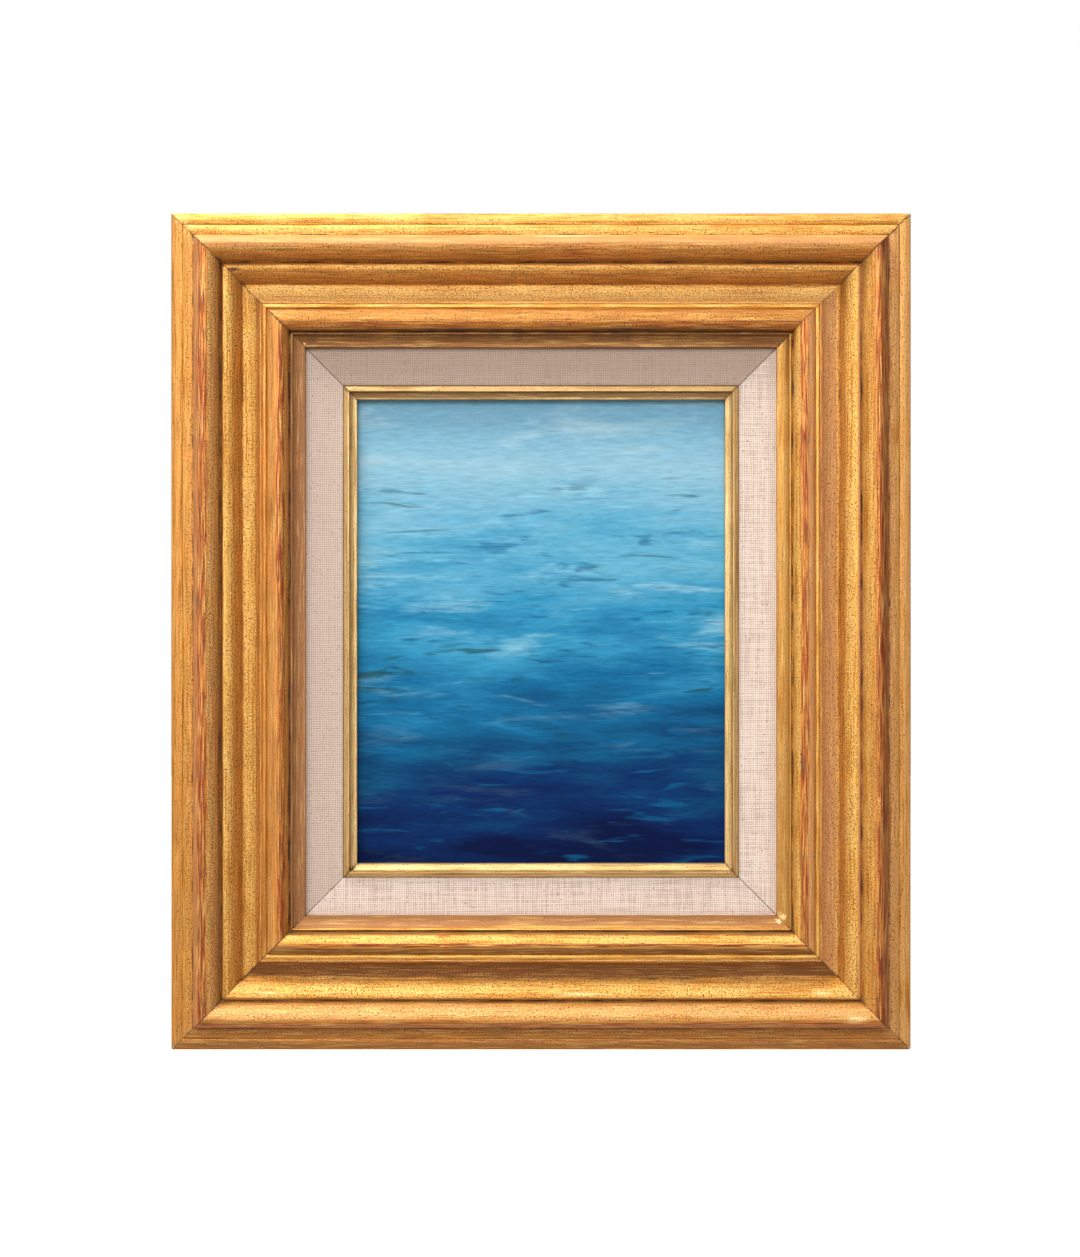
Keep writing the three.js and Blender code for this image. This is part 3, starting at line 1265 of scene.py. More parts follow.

# Each rail's own tones, by member. Bole is rubbed leaf and some amber is the leaf's own tone; the rest
# paints the light from above and to the left: painted shade in umber, amber and grime on faces turned from
# it, painted highlights in pale on faces turned to it, and painted reflection and shade in rose.
SIDE_WEAR_AND_PAINTED_LIGHT: dict[Side, list[Tone]] = {
    # Top rail: painted highlights on the ridge's outer flank and in the cove, painted shade on the faces
    # that turn down and in the sight cove.
    Side.TOP: [
        ("ridge", Tint.PALE, 0.02, 0.2, 0.35),
        ("ridge", Tint.ROSE, 0.22, 0.6, 0.6),
        ("ridge", Tint.BOLE, 0.5, 0.95, 0.35),
        ("ridge", Tint.AMBER, 0.66, 1.1, 0.55),
        ("lip", Tint.AMBER, -0.4, 1.1, 0.8),
        ("lip", Tint.UMBER, -0.4, 1.0, 0.3),
        ("swell", Tint.AMBER, 0.3, 1.1, 0.8),
        ("swell", Tint.UMBER, 0.55, 1.0, 0.1),
        ("cove", Tint.PALE, 0.1, 1.0, 0.34),
        ("torus", Tint.AMBER, 0.0, 0.5, 0.5),
        ("torus", Tint.UMBER, 0.0, 0.5, 0.2),
        ("torus", Tint.SPECKLE, 0.0, 1.0, 0.7),
        ("torus", Tint.AMBER, 0.5, 1.0, 0.8),
        ("torus", Tint.BOLE, 0.62, 0.92, 0.5),
        ("sight_cove", Tint.UMBER, -0.4, 1.1, 1.5),
        ("sight_cove", Tint.GRIME, -0.5, 0.6, 0.62),
    ],
    # Right rail: rose painted reflection on most members, and painted shade in the sight cove.
    Side.RIGHT: [
        ("outer_band", Tint.ROSE, 0.0, 1.0, 0.42),
        ("inner_band", Tint.ROSE, 0.0, 1.0, 0.5),
        ("sight_cove", Tint.UMBER, -0.2, 1.1, 0.35),
        ("ridge", Tint.BOLE, 0.0, 0.6, 1.15),
        ("ridge", Tint.AMBER, 0.0, 0.75, 0.7),
        ("ridge", Tint.ROSE, -0.1, 0.15, 0.7),
        ("lip", Tint.ROSE, -0.6, 1.0, 0.8),
        ("swell", Tint.AMBER, 0.75, 1.1, 0.5),
        ("cove", Tint.ROSE, 0.15, 1.1, 1.0),
        ("cove_shelf", Tint.BOLE, 0.0, 1.0, 0.5),
        ("torus", Tint.ROSE, 0.0, 0.42, 0.9),
        ("torus", Tint.BOLE, 0.34, 0.7, 0.95),
        ("torus", Tint.AMBER, 0.3, 0.75, 0.6),
    ],
    # Bottom rail: painted shade on the bands, the faces that turn down and the sight cove, and a painted
    # highlight on the ridge.
    Side.BOTTOM: [
        ("outer_band", Tint.AMBER, 0.0, 1.1, 0.65),
        ("inner_band", Tint.AMBER, -0.1, 1.1, 0.65),
        ("outer_band", Tint.UMBER, 0.0, 1.0, 0.4),
        ("inner_band", Tint.UMBER, 0.0, 1.1, 0.35),
        ("sight_cove", Tint.UMBER, 0.0, 1.1, 0.45),
        ("sight_cove", Tint.ROSE, 0.0, 1.1, 0.6),
        ("ridge", Tint.BOLE, 0.0, 0.42, 0.75),
        ("ridge", Tint.AMBER, 0.0, 0.5, 0.7),
        ("ridge", Tint.PALE, 0.6, 0.95, 0.3),
        ("ridge", Tint.ROSE, 0.5, 1.0, 0.4),
        ("lip", Tint.UMBER, -1.0, 1.0, 0.4),
        ("cove", Tint.UMBER, 0.05, 0.9, 0.8),
        ("cove", Tint.ROSE, 0.0, 1.0, 0.3),
        ("torus", Tint.UMBER, 0.0, 0.35, 0.7),
        ("torus", Tint.BOLE, 0.38, 0.55, 0.85),
        ("torus", Tint.UMBER, 0.9, 1.1, 0.5),
    ],
    # Left rail: rose painted reflection on the ridge and the torus, painted shade on the bands, the cove
    # and the sight cove, and a painted highlight on the ridge.
    Side.LEFT: [
        ("ridge", Tint.ROSE, 0.0, 0.42, 0.8),
        ("ridge", Tint.BOLE, 0.0, 0.4, 0.55),
        ("outer_band", Tint.AMBER, 0.0, 1.0, 0.5),
        ("inner_band", Tint.AMBER, 0.0, 1.0, 0.42),
        ("ridge", Tint.BOLE, 0.32, 0.64, 1.1),
        ("ridge", Tint.BOLE, 0.64, 1.0, 0.35),
        ("ridge", Tint.AMBER, 0.4, 1.1, 0.3),
        ("ridge", Tint.PALE, 0.66, 1.0, 0.35),
        ("quirk", Tint.AMBER, -0.3, 1.3, 0.7),
        ("lip", Tint.UMBER, -0.5, 0.7, 0.5),
        ("swell", Tint.AMBER, 0.5, 1.1, 0.4),
        ("cove", Tint.AMBER, 0.72, 1.1, 0.6),
        ("cove_shelf", Tint.AMBER, -0.5, 1.2, 0.8),
        ("bead", Tint.AMBER, 0.0, 1.1, 0.6),
        ("torus", Tint.ROSE, 0.05, 0.5, 0.45),
        ("torus", Tint.AMBER, 0.2, 1.0, 0.6),
        ("torus", Tint.BOLE, 0.5, 0.86, 0.95),
        ("sight_cove", Tint.ROSE, -0.3, 1.1, 1.0),
        ("sight_cove", Tint.UMBER, -0.3, 1.1, 0.5),
    ],
}


Spot = tuple[Wear, float, str, float, float, float, float]

SPOTS: dict[Side, list[Spot]] = {
    Side.TOP: [
        (Wear.NICK, 15.1e-3, "torus", 6.4e-3, 1.3e-3, 1.1e-3, -0.7e-3),
        (Wear.SMUDGE, 15.3e-3, "torus", 8.6e-3, 2.2e-3, 1.4e-3, 0.0),
        (Wear.NICK, -23.5e-3, "outer_band", 72.1e-3, 0.7e-3, 0.6e-3, -0.3e-3),
        # Painted highlight: a long pale sheen on the ridge's outer flank.
        (Wear.SHINE, 10e-3, "quirk", -12.5e-3, 60e-3, 1.8e-3, 0.0),
        (Wear.SMUDGE, -168e-3, "quirk", 4.5e-3, 6e-3, 1.8e-3, 0.0),
        (Wear.SMUDGE, -176e-3, "quirk", -0.5e-3, 3e-3, 1.6e-3, 0.0),
        (Wear.FILLER, -130.8e-3, "outer_band", 72.3e-3, 1.5e-3, 0.9e-3, 0.25e-3),
    ],
    Side.RIGHT: [
        (Wear.SCRAPE, 26e-3, "torus", 4.6e-3, 0.5e-3, 2.6e-3, -0.12e-3),
        (Wear.NICK, -22e-3, "cove", -0.6e-3, 1.4e-3, 0.6e-3, -0.4e-3),
        (Wear.NICK, -47e-3, "cove", 1.2e-3, 0.8e-3, 0.4e-3, -0.25e-3),
        (Wear.FILLER, 157.8e-3, "outer_band", 71.2e-3, 3.0e-3, 3.0e-3, 0.3e-3),
    ],
    Side.BOTTOM: [
        (Wear.FILLER, -131.3e-3, "outer_band", 71.2e-3, 2.6e-3, 2.6e-3, 0.35e-3),
        (Wear.SCRAPE, 54e-3, "torus", 5.2e-3, 1.5e-3, 0.5e-3, -0.1e-3),
        (Wear.RUB, 53e-3, "torus", 10.4e-3, 5e-3, 1.6e-3, 0.0),
        (Wear.NICK, 26e-3, "quirk", 6.5e-3, 0.9e-3, 0.5e-3, -0.3e-3),
        # Painted highlights: pale sheen patches on the ridge and the swell.
        (Wear.SHINE, -171e-3, "quirk", -7e-3, 12e-3, 3.5e-3, 0.0),
        (Wear.SHINE, -153e-3, "quirk", 5e-3, 10e-3, 2.2e-3, 0.0),
        (Wear.SHINE, 150e-3, "quirk", 5e-3, 14e-3, 2.0e-3, 0.0),
        (Wear.SHINE, -20e-3, "quirk", 4.5e-3, 26e-3, 2.0e-3, 0.0),
        (Wear.NICK, 6e-3, "quirk", 6.4e-3, 0.7e-3, 0.9e-3, -0.3e-3),
    ],
    Side.LEFT: [(Wear.NICK, 88e-3, "outer_band", 11e-3, 1.0e-3, 0.5e-3, -0.3e-3)],
}

SMEARS: dict[Side, tuple[int, float]] = {Side.TOP: (-1, 0.0), Side.LEFT: (1, 27e-3)}


@dataclass
class Moulding(Surround):
    """The gilded frame moulding, sized from its outer edge to its sight edge.

    Each rise is how high a member's crest or foot stands above the sight edge.
    """

    label = "gilded_rail"
    slot = "gilded_wood"
    pitch = 2.0e-3
    ring: Ring = Ring("frame_rail")
    outer_band: float = 6.1e-3
    band_groove: float = 0.8e-3
    inner_band: float = 5.7e-3
    ridge_groove: float = 1.0e-3
    ridge: float = 15.3e-3
    quirk: float = 1.0e-3
    lip: float = 1.6e-3
    swell: float = 8.2e-3
    crease: float = 0.6e-3
    cove: float = 10.1e-3
    cove_shelf: float = 0.9e-3
    bead_groove: float = 0.5e-3
    bead: float = 2.4e-3
    torus_groove: float = 0.4e-3
    torus: float = 11.4e-3
    sight_quirk: float = 0.8e-3
    sight_reed: float = 1.2e-3
    sight_cove: float = 6.0e-3
    outer_rise: float = 0.5e-3
    inner_rise: float = 1.1e-3
    ridge_rise: float = 16.5e-3
    ridge_foot_rise: float = 8.2e-3
    lip_foot_rise: float = 7.9e-3
    lip_rise: float = 9.5e-3
    crease_rise: float = 1.6e-3
    shelf_rise: float = 6.3e-3
    bead_rise: float = 7.1e-3
    torus_rise: float = 9.7e-3
    torus_foot_rise: float = 3.9e-3
    reed_foot_rise: float = 3.4e-3
    reed_rise: float = 4.1e-3
    crown: float = 0.45e-3
    band_depth: float = 0.55e-3
    quirk_depth: float = 1.1e-3
    crease_depth: float = 0.4e-3
    bead_depth: float = 0.5e-3
    edge_radius: float = 1.2e-3
    sight_height: float = 29.5e-3
    rebate_height: float = 26.3e-3
    rebate_width: float = 7.0e-3
    ridge_turn: float = 0.42 * pi
    swell_turn: float = 0.3 * pi
    cove_turn: float = 0.36 * pi

    def section(self) -> Section:
        """Draw the moulding's section.

        Returns:
            The section.
        """
        sight, inner = self.sight_height, self.sight_height + self.inner_rise
        shelf, reed_foot = self.sight_height + self.shelf_rise, self.sight_height + self.reed_foot_rise
        pen = Section(SectionPoint(0, 0))
        pen.line(0, sight + self.outer_rise - self.edge_radius).end_side()
        pen.rise(self.edge_radius, sight + self.outer_rise)
        pen.line(self.outer_band, sight + self.outer_rise, self.crown)
        pen.groove(self.band_groove, self.band_depth, inner, 0.25)
        pen.line(pen.pen.inward + self.inner_band, inner, self.crown)
        pen.groove(self.ridge_groove, self.quirk_depth, inner, 0.75)
        pen.rise(self.ridge / 2, sight + self.ridge_rise)
        pen.fall(self.ridge / 2, sight + self.ridge_foot_rise, self.ridge_turn)
        pen.groove(self.quirk, self.quirk_depth, sight + self.lip_foot_rise)
        pen.rise(self.lip, sight + self.lip_rise)
        pen.fall(self.swell, sight + self.crease_rise, self.swell_turn)
        pen.groove(self.crease, self.crease_depth, sight + self.crease_rise, 0.5)
        pen.fall(self.cove, shelf, self.cove_turn)
        pen.line(pen.pen.inward + self.cove_shelf, shelf)
        pen.groove(self.bead_groove, self.bead_depth, shelf, 0.35)
        pen.torus(self.bead, sight + self.bead_rise, shelf)
        pen.groove(self.torus_groove, self.bead_depth, shelf, 0.35)
        pen.torus(self.torus, sight + self.torus_rise, sight + self.torus_foot_rise)
        pen.groove(self.sight_quirk, self.quirk_depth, reed_foot)
        pen.torus(self.sight_reed, sight + self.reed_rise, reed_foot)
        pen.rise(self.sight_cove, sight)
        width = pen.pen.inward
        pen.line(width, self.rebate_height)
        pen.end_front()
        return pen.mark(width - self.rebate_width, self.rebate_height).mark(width - self.rebate_width, 0)

    @property
    def members(self) -> dict[str, tuple[float, float]]:
        """The moulding's members, in order from the outer edge.

        Returns:
            Where each member starts and how wide it is.
        """
        names = (
            "outer_band band_groove inner_band ridge_groove ridge quirk lip swell crease cove cove_shelf"
            " bead_groove bead torus_groove torus sight_quirk sight_reed sight_cove"
        )
        found = {}
        at = 0.0
        for name in names.split():
            found[name] = (at, getattr(self, name))
            at += getattr(self, name)
        return found

    def strips(self, side: Side) -> list[Strip]:
        """Place the toned strips of a rail, wear and painted shade, highlights and reflections, which the
        tables give by shares of a member.

        Args:
            side: The rail's side.

        Returns:
            The strips.
        """
        found = []
        for name, tint, start, end, strength in (*COMMON_TONES, *SIDE_WEAR_AND_PAINTED_LIGHT[side]):
            at, width = self.members[name]
            found.append(Strip(tint, at + start * width, at + end * width, strength))
        return found

    def blemishes(self, side: Side) -> list[Blemish]:
        """Place the damaged spots and painted highlights of a rail, along it from its middle and inward
        from a member's start.

        Args:
            side: The rail's side.

        Returns:
            The spots, with a row of small smears over the left top corner.
        """
        found = []
        for kind, along, member, offset, *sizes in SPOTS[side]:
            found.append(Blemish(kind, along, self.members[member][0] + offset, *sizes))
        if side in SMEARS:
            turn, shift = SMEARS[side]
            for i in range(5):
                along = turn * (199e-3 - 2.6e-3 * i) + shift
                found.append(Blemish(Wear.SCRAPE, along, 3e-3 + 2.4e-3 * i, 1.7e-3, 0.8e-3, 0.03e-3))
        return found

    def weather(self, mesh: Mesh, side: Side) -> None:
        """Make the gesso uneven, its quirks ragged and its leaf worn, and paint shade, highlights and
        reflections on the leaf.

        Args:
            mesh: The rail's mesh.
            side: The side it is for.
        """
        surface = Surface(mesh, side.number + 1)
        front = (surface.inward > 1e-3) & (surface.places[:, 1] < -self.sight_height + 1.5e-3)
        gesso = 0.12e-3 * surface.noise(1, 45e-3, 9e-3) + 0.04e-3 * surface.noise(2, 25e-3, 1.0e-3)
        in_groove = np.clip(surface.tints[Tint.GRIME] * 1.2, 0, 1)
        ragged = 0.4e-3 + 0.45e-3 * surface.noise(3, 3.5e-3, 1.2e-3)
        surface.raise_by(np.where(front, gesso + in_groove * ragged, 0))
        for strip in self.strips(side):
            surface.tone(strip)
        surface.tints[Tint.BOLE] *= 0.85 + 0.3 * surface.noise(5, 60e-3, 40e-3)
        surface.tints[Tint.GRIME] *= 0.75 + 0.5 * surface.noise(4, 6e-3, 30e-3)
        for spot in self.blemishes(side):
            surface.damage(spot)
        surface.soil_mitres(0.45e-3)
        surface.close_mitres(0.13e-3)
        surface.write()


# Painted shade that the frame casts on the linen, deepest on the top and left rails: where it starts and
# ends from the outer edge, and its strength.
LINEN_SHADE: dict[Side, tuple[float, float, float]] = {
    Side.TOP: (-5e-3, 34e-3, 0.58),
    Side.RIGHT: (0.0, 10e-3, 0.2),
    Side.BOTTOM: (0.0, 8e-3, 0.1),
    Side.LEFT: (-9e-3, 31e-3, 0.37),
}


@dataclass
class Liner(Surround):
    """The flat liner board with linen glued round its front."""

    label = "linen_rail"
    slot = "linen"
    pitch = 6e-3
    gap = 0.34e-3
    ring: Ring = Ring("liner_rail")
    tuck: float = 6e-3
    linen: float = 21e-3
    fillet: float = 7.2e-3
    seat_gap: float = 0.3e-3
    setback: float = 0.8e-3
    overlap: float = 7.25e-3
    clearance: float = 1.0e-3
    edge_radius: float = 0.8e-3
    lip_face: float = 22.1e-3
    lip_back: float = 20.1e-3

    def section(self) -> Section:
        """Draw the liner's section.

        Returns:
            The section.
        """
        low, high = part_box(self.ring.name(Side.TOP))
        face, back = -low[1], -high[1]
        width = self.tuck + self.linen + self.fillet
        canvas_wall = width - self.overlap - self.clearance
        seat_wall = self.tuck + self.linen - self.seat_gap
        pen = Section(SectionPoint(0, back), step=1.2e-3)
        pen.line(0, face - self.edge_radius)
        pen.rise(self.edge_radius, face)
        pen.line(seat_wall - self.edge_radius, face)
        pen.fall(self.edge_radius, face - self.edge_radius)
        pen.mark(seat_wall, self.lip_face)
        pen.end_front()
        pen.mark(width - self.setback, self.lip_face).mark(width - self.setback, self.lip_back)
        return pen.mark(canvas_wall, self.lip_back).mark(canvas_wall, back)

    def weather(self, mesh: Mesh, side: Side) -> None:
        """Paint the frame's shade on the linen of a rail.

        Args:
            mesh: The rail's mesh.
            side: The side it is for.
        """
        surface = Surface(mesh, 50)
        # Painted shade on the linen.
        surface.tone(Strip(Tint.UMBER, *LINEN_SHADE[side]))
        surface.write()


@dataclass
class Fillet(Surround):
    """The slim gilt stick between the linen and the picture."""

    label = "gilt_fillet"
    slot = "fillet_gilding"
    pitch = 4e-3
    ring: Ring = Ring("fillet")
    round_width: float = 3.3e-3
    groove_width: float = 0.5e-3
    groove_depth: float = 0.45e-3
    width: float = 7.2e-3
    slope_drop: float = 2.4e-3
    linen_height: float = 26.0e-3

    def section(self) -> Section:
        """Draw the fillet's section.

        Returns:
            The section.
        """
        low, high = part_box(self.ring.name(Side.TOP))
        crest, back = -low[1], -high[1]
        slope_top = crest - self.groove_depth
        slope = self.width - self.round_width - self.groove_width
        pen = Section(SectionPoint(0, back), step=0.3e-3)
        pen.line(0, self.linen_height)
        pen.rise(self.round_width, crest)
        pen.groove(self.groove_width, self.groove_depth, slope_top, 0.6)
        pen.rise(slope, slope_top - self.slope_drop)
        pen.line(self.width, back)
        return pen.end_front()

    def weather(self, mesh: Mesh, side: Side) -> None:
        """Make a stick a little uneven and toned, with painted shade on the top one.

        Args:
            mesh: The stick's mesh.
            side: The side it is for.
        """
        surface = Surface(mesh, side.number + 31)
        surface.raise_by(0.05e-3 * surface.noise(1, 30e-3, 3e-3))
        surface.tone(Strip(Tint.AMBER, 1.5e-3, 3e-3, 0.4))
        # Painted shade on the top stick.
        if side is Side.TOP:
            surface.tone(Strip(Tint.UMBER, 3e-3, 7e-3, 0.6))
        surface.soil_mitres(0.4e-3)
        surface.write()


@dataclass
class StretchedCanvas:
    """The painted canvas, folded round its stretcher and tacked down behind it."""

    thickness: float = 0.7e-3
    turned_over: float = 14e-3
    fold_radius: float = 1.6e-3
    cell: float = 4.0e-3
    stretcher_back: float = 1.7e-3
    gap: float = 0.1e-3

    def __post_init__(self) -> None:
        """Take the canvas's place from the frame."""
        low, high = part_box("canvas")
        self.low, self.high = Vector(low), Vector(high)
        self.centre = (self.low + self.high) / 2
        self.width = self.high.x - self.low.x
        self.height = self.high.z - self.low.z
        self.back = self.stretcher_back - self.gap - self.thickness

    @property
    def flat(self) -> tuple[float, float]:
        """The size that the cloth was cut to."""
        extra = 2 * (-self.low.y - self.back + self.turned_over)
        return self.width + extra, self.height + extra

    def build(self, picture: Material, cloth: Material) -> None:
        """Model and dress the canvas.

        Args:
            picture: The painted front.
            cloth: The unpainted canvas.
        """
        bm = bmesh.new()
        cells = [round(self.width / self.cell), round(self.height / self.cell)]
        bmesh.ops.create_grid(bm, x_segments=cells[0], y_segments=cells[1], size=0.5)
        bmesh.ops.scale(bm, verts=bm.verts, vec=(self.width, self.height, 1))
        bmesh.ops.rotate(bm, verts=bm.verts, matrix=Matrix.Rotation(radians(90), 3, "X"))
        place = Vector((self.centre.x, self.low.y, self.centre.z))
        bmesh.ops.translate(bm, verts=bm.verts, vec=place)
        folds = [edge for edge in bm.edges if edge.is_boundary]
        rim = self.turn(bm, folds, Vector((0, -self.low.y - self.back, 0)), 0)
        self.turn(bm, rim, Vector((0, 0, 0)), self.turned_over)
        rounded = {"segments": 3, "profile": 0.5, "affect": "EDGES", "material": -1}
        bmesh.ops.bevel(bm, geom=folds + rim, offset=self.fold_radius, offset_type="OFFSET", **rounded)
        bmesh.ops.recalc_face_normals(bm, faces=bm.faces)
        for face in bm.faces:
            face.material_index = int(face.calc_center_median().y > self.low.y + self.fold_radius)
        bmesh.ops.solidify(bm, geom=bm.faces, thickness=self.thickness)
        inner = self.low.y + self.thickness / 2
        for face in bm.faces:
            face.smooth = True
            if face.calc_center_median().y > inner:
                face.material_index = 1
        piece = piece_of(mesh_from(bm, "stretched_canvas"), [picture, cloth])
        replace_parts(piece, "canvas")
        self.flat

    def turn(self, bm: BMesh, edges: list[BMEdge], move: Vector, inset: float) -> list[BMEdge]:
        """Fold the cloth on from its present rim.

        Args:
            bm: The mesh being made.
            edges: The edges of the rim.
            move: How far the new rim lies from it.
            inset: How far the new rim lies inside it.

        Returns:
            The edges of the new rim.
        """
        made = bmesh.ops.extrude_edge_only(bm, edges=edges)["geom"]
        verts = [item for item in made if isinstance(item, BMVert)]
        bmesh.ops.translate(bm, verts=verts, vec=move)
        shrink = Vector((1 - 2 * inset / self.width, 1, 1 - 2 * inset / self.height))
        space = Matrix.Translation(-self.centre)
        bmesh.ops.scale(bm, verts=verts, vec=shrink, space=space)
        return [item for item in made if isinstance(item, BMEdge) and item.is_boundary]


@dataclass
class Stretcher:
    """The four bars that the canvas is stretched on, kept as the frame gives them."""

    level: Material
    upright: Material

    def build(self) -> None:
        """Dress the bars, each with wood whose grain runs along it."""
        for side in Side:
            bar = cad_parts[f"stretcher_bar_{side.word}"]
            bar.data.materials.clear()
            bar.data.materials.append(self.upright if side.upright else self.level)
            LOG.info("%s: dressed", bar.name)


@dataclass
class Fixings:
    """Staples in the canvas's turned edge and brads that hold the liner in the frame."""

    canvas: StretchedCanvas
    crown: float = 9e-3
    wire: float = 0.55e-3
    spacing: float = 42e-3
    inset: float = 8e-3
    lean: float = radians(7)
    brad_radius: float = 0.65e-3
    brad_length: float = 13e-3
    brad_reach: float = 4e-3
    brad_lean: float = 5.0
    brads_per_side: int = 2
    head_share: float = 1.35
    head_depth: float = 0.8e-3
    liner: Ring = Ring("liner_rail")

    def build(self, steel: Material) -> None:
        """Model and dress the staples and the brads.

        Args:
            steel: Their finish.
        """
        for name, place in (("canvas_staples", self.staples), ("liner_brads", self.brads)):
            bm = bmesh.new()
            place(bm)
            for face in bm.faces:
                face.smooth = True
            piece_of(mesh_from(bm, name), [steel])

    def staples(self, bm: BMesh) -> None:
        """Put a row of staples along each side of the canvas, each leaning a little its own way.

        Args:
            bm: The mesh being made.
        """
        canvas = self.canvas
        for side in Side:
            along, across = (canvas.height, canvas.width) if side.upright else (canvas.width, canvas.height)
            count = round(along / self.spacing)
            for i in range(count):
                x = (i + 0.5 - count / 2) * self.spacing
                lean = self.lean * sin(i * 2.3 + side.value)
                rod = self.rod(bm, self.wire / 2, self.crown, 8)
                bmesh.ops.rotate(bm, verts=rod, matrix=Matrix.Rotation(lean, 3, "Y"))
                place = Vector((x, self.wire * 0.3 - canvas.back, across / 2 - self.inset))
                self.settle(bm, rod, side, place)

    def brads(self, bm: BMesh) -> None:
        """Lay the brads on the liner's back, each with its head towards the picture.

        Args:
            bm: The mesh being made.
        """
        for side in Side:
            along, across = self.liner.lengths(side)
            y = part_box(self.liner.name(side))[1][1] + self.brad_radius
            z = across / 2 - self.brad_length / 2 + self.brad_reach
            for i in range(self.brads_per_side):
                x = (i + 0.5 - self.brads_per_side / 2) * along * 0.5
                shank = self.rod(bm, self.brad_radius, self.brad_length, 12)
                head = self.rod(bm, self.brad_radius * self.head_share, self.head_depth, 12)
                bmesh.ops.translate(bm, verts=head, vec=(self.brad_length / 2, 0, 0))
                turn = Matrix.Rotation(radians(90 + self.brad_lean * (i - 0.5)), 3, "Y")
                bmesh.ops.rotate(bm, verts=shank + head, matrix=turn)
                self.settle(bm, shank + head, side, Vector((x, y, z)))

    @staticmethod
    def rod(bm: BMesh, radius: float, length: float, sides: int) -> list[BMVert]:
        """Make a round rod along X with softened ends.

        Args:
            bm: The mesh being made.
            radius: The rod's radius.
            length: Its length.
            sides: How many sides it has.

        Returns:
            Its vertices.
        """
        size = {"radius1": radius, "radius2": radius, "depth": length}
        made = bmesh.ops.create_cone(bm, cap_ends=True, segments=sides, **size)["verts"]
        rims = {edge for vert in made for edge in vert.link_edges if len(edge.link_faces) == 2}
        rims = [edge for edge in rims if abs(edge.verts[0].co.z - edge.verts[1].co.z) < 1e-7]
        rounded = {"segments": 2, "profile": 0.5, "affect": "EDGES", "material": -1}
        soft = bmesh.ops.bevel(bm, geom=rims, offset=radius * 0.3, **rounded)
        verts = list({v for face in soft["faces"] for v in face.verts} | {v for v in made if v.is_valid})
        bmesh.ops.rotate(bm, verts=verts, matrix=Matrix.Rotation(radians(90), 3, "Y"))
        return verts

    def settle(self, bm: BMesh, verts: list[BMVert], side: Side, place: Vector) -> None:
        """Move a fixing made for the top side to its place on a side.

        Args:
            bm: The mesh being made.
            verts: The fixing's vertices.
            side: The side.
            place: Its place on the top side, from the picture's centre.
        """
        bmesh.ops.translate(bm, verts=verts, vec=place)
        bmesh.ops.rotate(bm, verts=verts, matrix=Matrix.Rotation(radians(side.value), 3, "Y"))
        centre = self.canvas.centre
        bmesh.ops.translate(bm, verts=verts, vec=(centre.x, 0, centre.z))


@dataclass(frozen=True)
class SoftLight:
    """A rectangular light: its place from the picture's centre, its size and its power."""

    name: str
    place: tuple[float, float, float]
    width: float
    height: float
    power: float
    colour: tuple[float, float, float] = (1.0, 1.0, 1.0)

    def hang(self, target: Vector) -> None:
        """Hang the light and aim it at the target.

        Args:
            target: The point it is aimed at.
        """
        data = bpy.data.lights.new(self.name, "AREA")
        data.shape = "RECTANGLE"
        data.size, data.size_y = self.width, self.height
        data.energy = self.power
        data.color = self.colour
        lamp = stand(self.name, data)
        lamp.location = target + Vector(self.place)
        lamp.rotation_euler = (target - lamp.location).to_track_quat("-Z", "Y").to_euler()


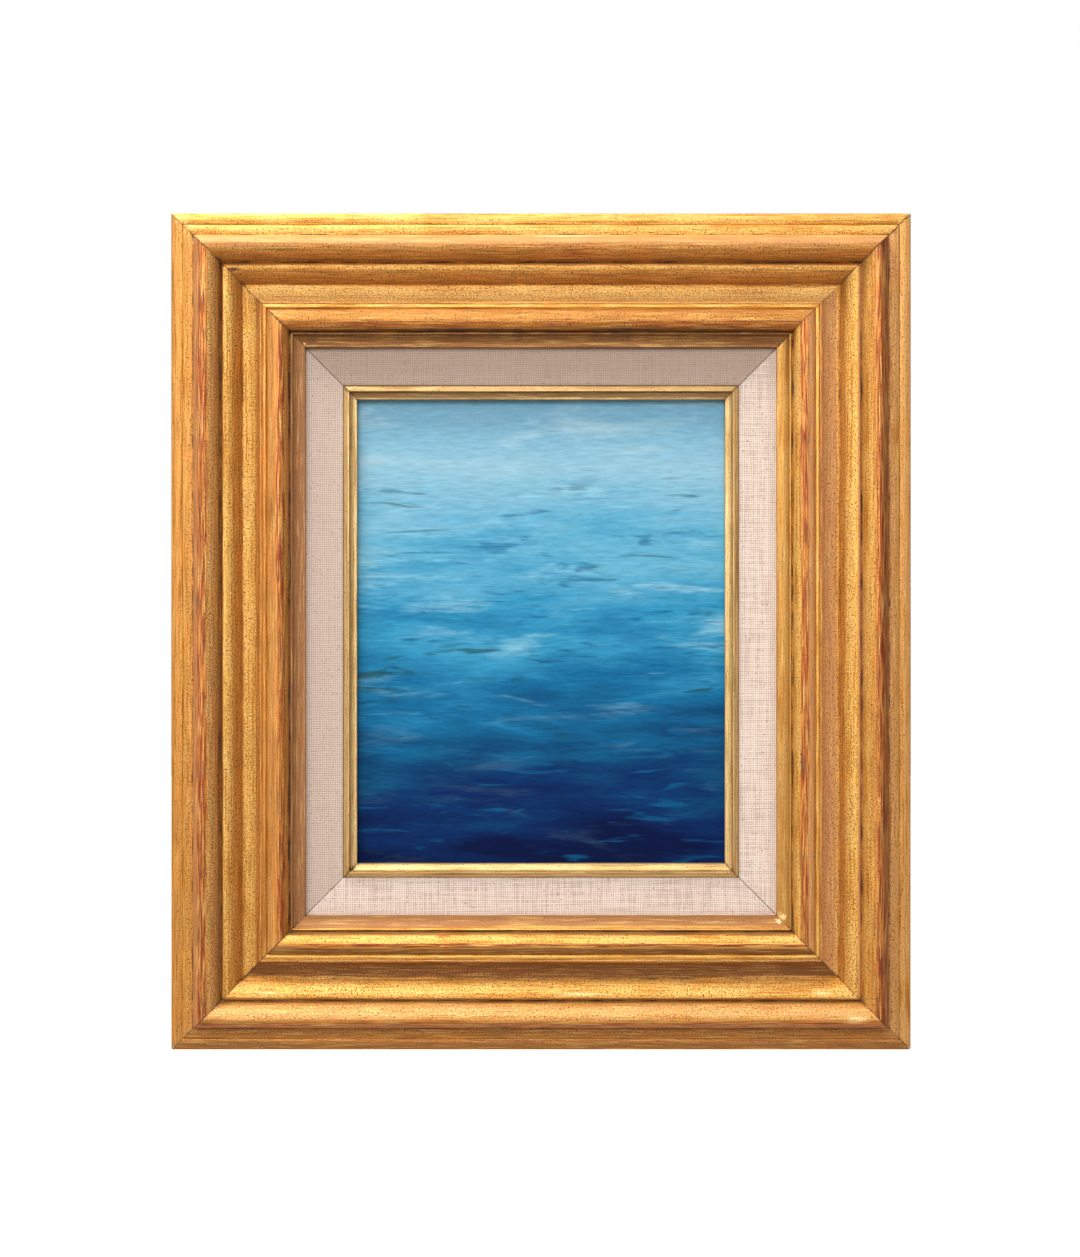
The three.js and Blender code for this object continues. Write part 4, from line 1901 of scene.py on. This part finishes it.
@dataclass
class Studio:
    """A pale floor far below, a soft light from above, and the camera straight in front."""

    picture_centre: Vector
    picture_depth: float
    distance: float = 0.75
    millimetres_a_pixel: float = 0.5605
    photo_width: int = 1080
    photo_height: int = 1257
    centre_pixel: tuple[float, float] = (541.0, 631.5)
    sensor_width: float = 36.0
    bright_side: tuple[float, float, float] = (-0.18, 0.0, 0.98)
    room_strength: float = 0.68
    floor_size: float = 12.0
    floor_height: float = -1.6

    def build(self) -> None:
        """Make the camera, the lights, the world and the floor."""
        self.camera()
        self.world()
        SoftLight("key", (-0.9, -0.62, 2.2), 1.1, 0.6, 74, (1.0, 0.98, 0.95)).hang(self.picture_centre)
        SoftLight("front", (-0.2, -1.9, 0.7), 1.2, 0.9, 33).hang(self.picture_centre)
        self.floor()

    def camera(self) -> None:
        """Put the camera where the photograph was taken from."""
        data = bpy.data.cameras.new("camera")
        scale = self.millimetres_a_pixel / 1000
        data.sensor_width = self.sensor_width
        data.lens = data.sensor_width * self.distance / (scale * self.photo_height)
        camera = stand("camera", data)
        right = (self.photo_width / 2 - self.centre_pixel[0]) * scale
        up = (self.centre_pixel[1] - self.photo_height / 2) * scale
        camera.location = self.picture_centre + Vector((right, -self.distance - self.picture_depth, up))
        camera.rotation_euler = (radians(90), 0, 0)
        bpy.context.scene.camera = camera

    def world(self) -> None:
        """Light all round, bright above and darker below, on a white ground."""
        world = bpy.data.worlds.new("studio")
        bpy.context.scene.world = world
        world.use_nodes = True
        world.node_tree.nodes.clear()
        r = Recipe(world, world.node_tree.nodes.new("ShaderNodeOutputWorld"))
        facing = {0: r.node("TexCoord").outputs["Generated"], 1: self.bright_side}
        height = r.node("VectorMath", facing, operation="DOT_PRODUCT").outputs["Value"]
        levels = [(0.3, 0.02), (0.42, 0.08), (0.5, 0.22), (0.63, 0.75), (0.8, 1.0)]
        stops = [(at, (level, level, level * 1.02, 1.0)) for at, level in levels]
        glow = r.ramp(r.math("MULTIPLY_ADD", height, 0.5, 0.5), stops)
        room = r.node("Background", {"Color": glow, "Strength": self.room_strength}).outputs[0]
        ground = r.node("Background", {"Color": (1, 1, 1, 1)}).outputs[0]
        seen = r.node("LightPath").outputs["Is Camera Ray"]
        r.feed("Surface", r.node("MixShader", {0: seen, 1: room, 2: ground}).outputs[0])

    def floor(self) -> None:
        """Lay the pale floor."""
        bm = bmesh.new()
        bmesh.ops.create_grid(bm, x_segments=1, y_segments=1, size=self.floor_size)
        bmesh.ops.translate(bm, verts=bm.verts, vec=(0, 0, self.floor_height))
        mesh = mesh_from(bm, "floor")
        white = (1.0, 1.0, 1.0, 1.0)
        paint = Recipe.start("pale_floor", Base_Color=srgb("D8D5D0"), Roughness=0.9, Emission_Color=white)
        paint.feed("Emission Strength", paint.node("LightPath").outputs["Is Camera Ray"])
        mesh.materials.append(paint.owner)
        stand("floor", mesh)


def main() -> None:
    """Build the painting's pieces in order, then the studio round it."""
    logging.basicConfig(level=logging.INFO, format="%(name)s %(message)s")
    bpy.context.scene.view_settings.view_transform = "Standard"
    gold = Gilding(
        "rubbed_gilding",
        bright=srgb("F4CE78"),
        middle=srgb("DA9F42"),
        deep=srgb("AC6A22"),
        bole=srgb("963614"),
        rose=srgb("BC8054"),
        amber=srgb("BE7830"),
        umber=srgb("6A3C1C"),
        toning=srgb("4C2A14"),
        filler=srgb("FADFA0"),
    ).make()
    pale_gold = Gilding(
        "pale_gilding",
        bright=srgb("E8CC94"),
        middle=srgb("CDA869"),
        deep=srgb("A67E48"),
        bole=srgb("9A6236"),
        rose=srgb("C09A70"),
        amber=srgb("A87840"),
        umber=srgb("7A5630"),
        toning=srgb("4A3018"),
        filler=srgb("EFDDB4"),
    ).make()
    grain = ((160e-3, 2.6e-3), (9e-3, 0.28e-3))
    wood = Softwood("bare_pine", srgb("D6B88A"), srgb("AE8450"), *grain, srgb("7E5A36")).make()
    paint = SidePaint("ochre_wash", srgb("B98A45"), srgb("8E6230"), srgb("C9A676")).make()
    linen = Linen("natural_linen", srgb("F2DED0"), srgb("CDB4A4"), srgb("8A6F60"), srgb("94745C")).make()
    Moulding().build(gold, wood, paint)
    Liner().build(linen, wood, wood)
    Fillet().build(pale_gold, wood, pale_gold)
    canvas = StretchedCanvas()
    picture = SeaPicture("sea_picture", canvas.centre, canvas.width, canvas.height).make()
    canvas.build(picture, Cloth("raw_canvas", srgb("E4DAC4"), srgb("BDAE93")).make())
    tones = (srgb("DCC094"), srgb("BC9460"))
    level = Softwood("level_pine", *tones, (0.16, 2.6e-3, 2.6e-3), (9e-3, 0.3e-3, 0.3e-3)).make()
    upright = Softwood("upright_pine", *tones, (2.6e-3, 2.6e-3, 0.16), (0.3e-3, 0.3e-3, 9e-3)).make()
    Stretcher(level, upright).build()
    Fixings(canvas).build(Steel("steel_wire", srgb("B9B7B2"), srgb("6B5A48")).make())
    Studio(Vector((canvas.centre.x, 0, canvas.centre.z)), -canvas.low.y).build()


if __name__ == "__main__":
    main()
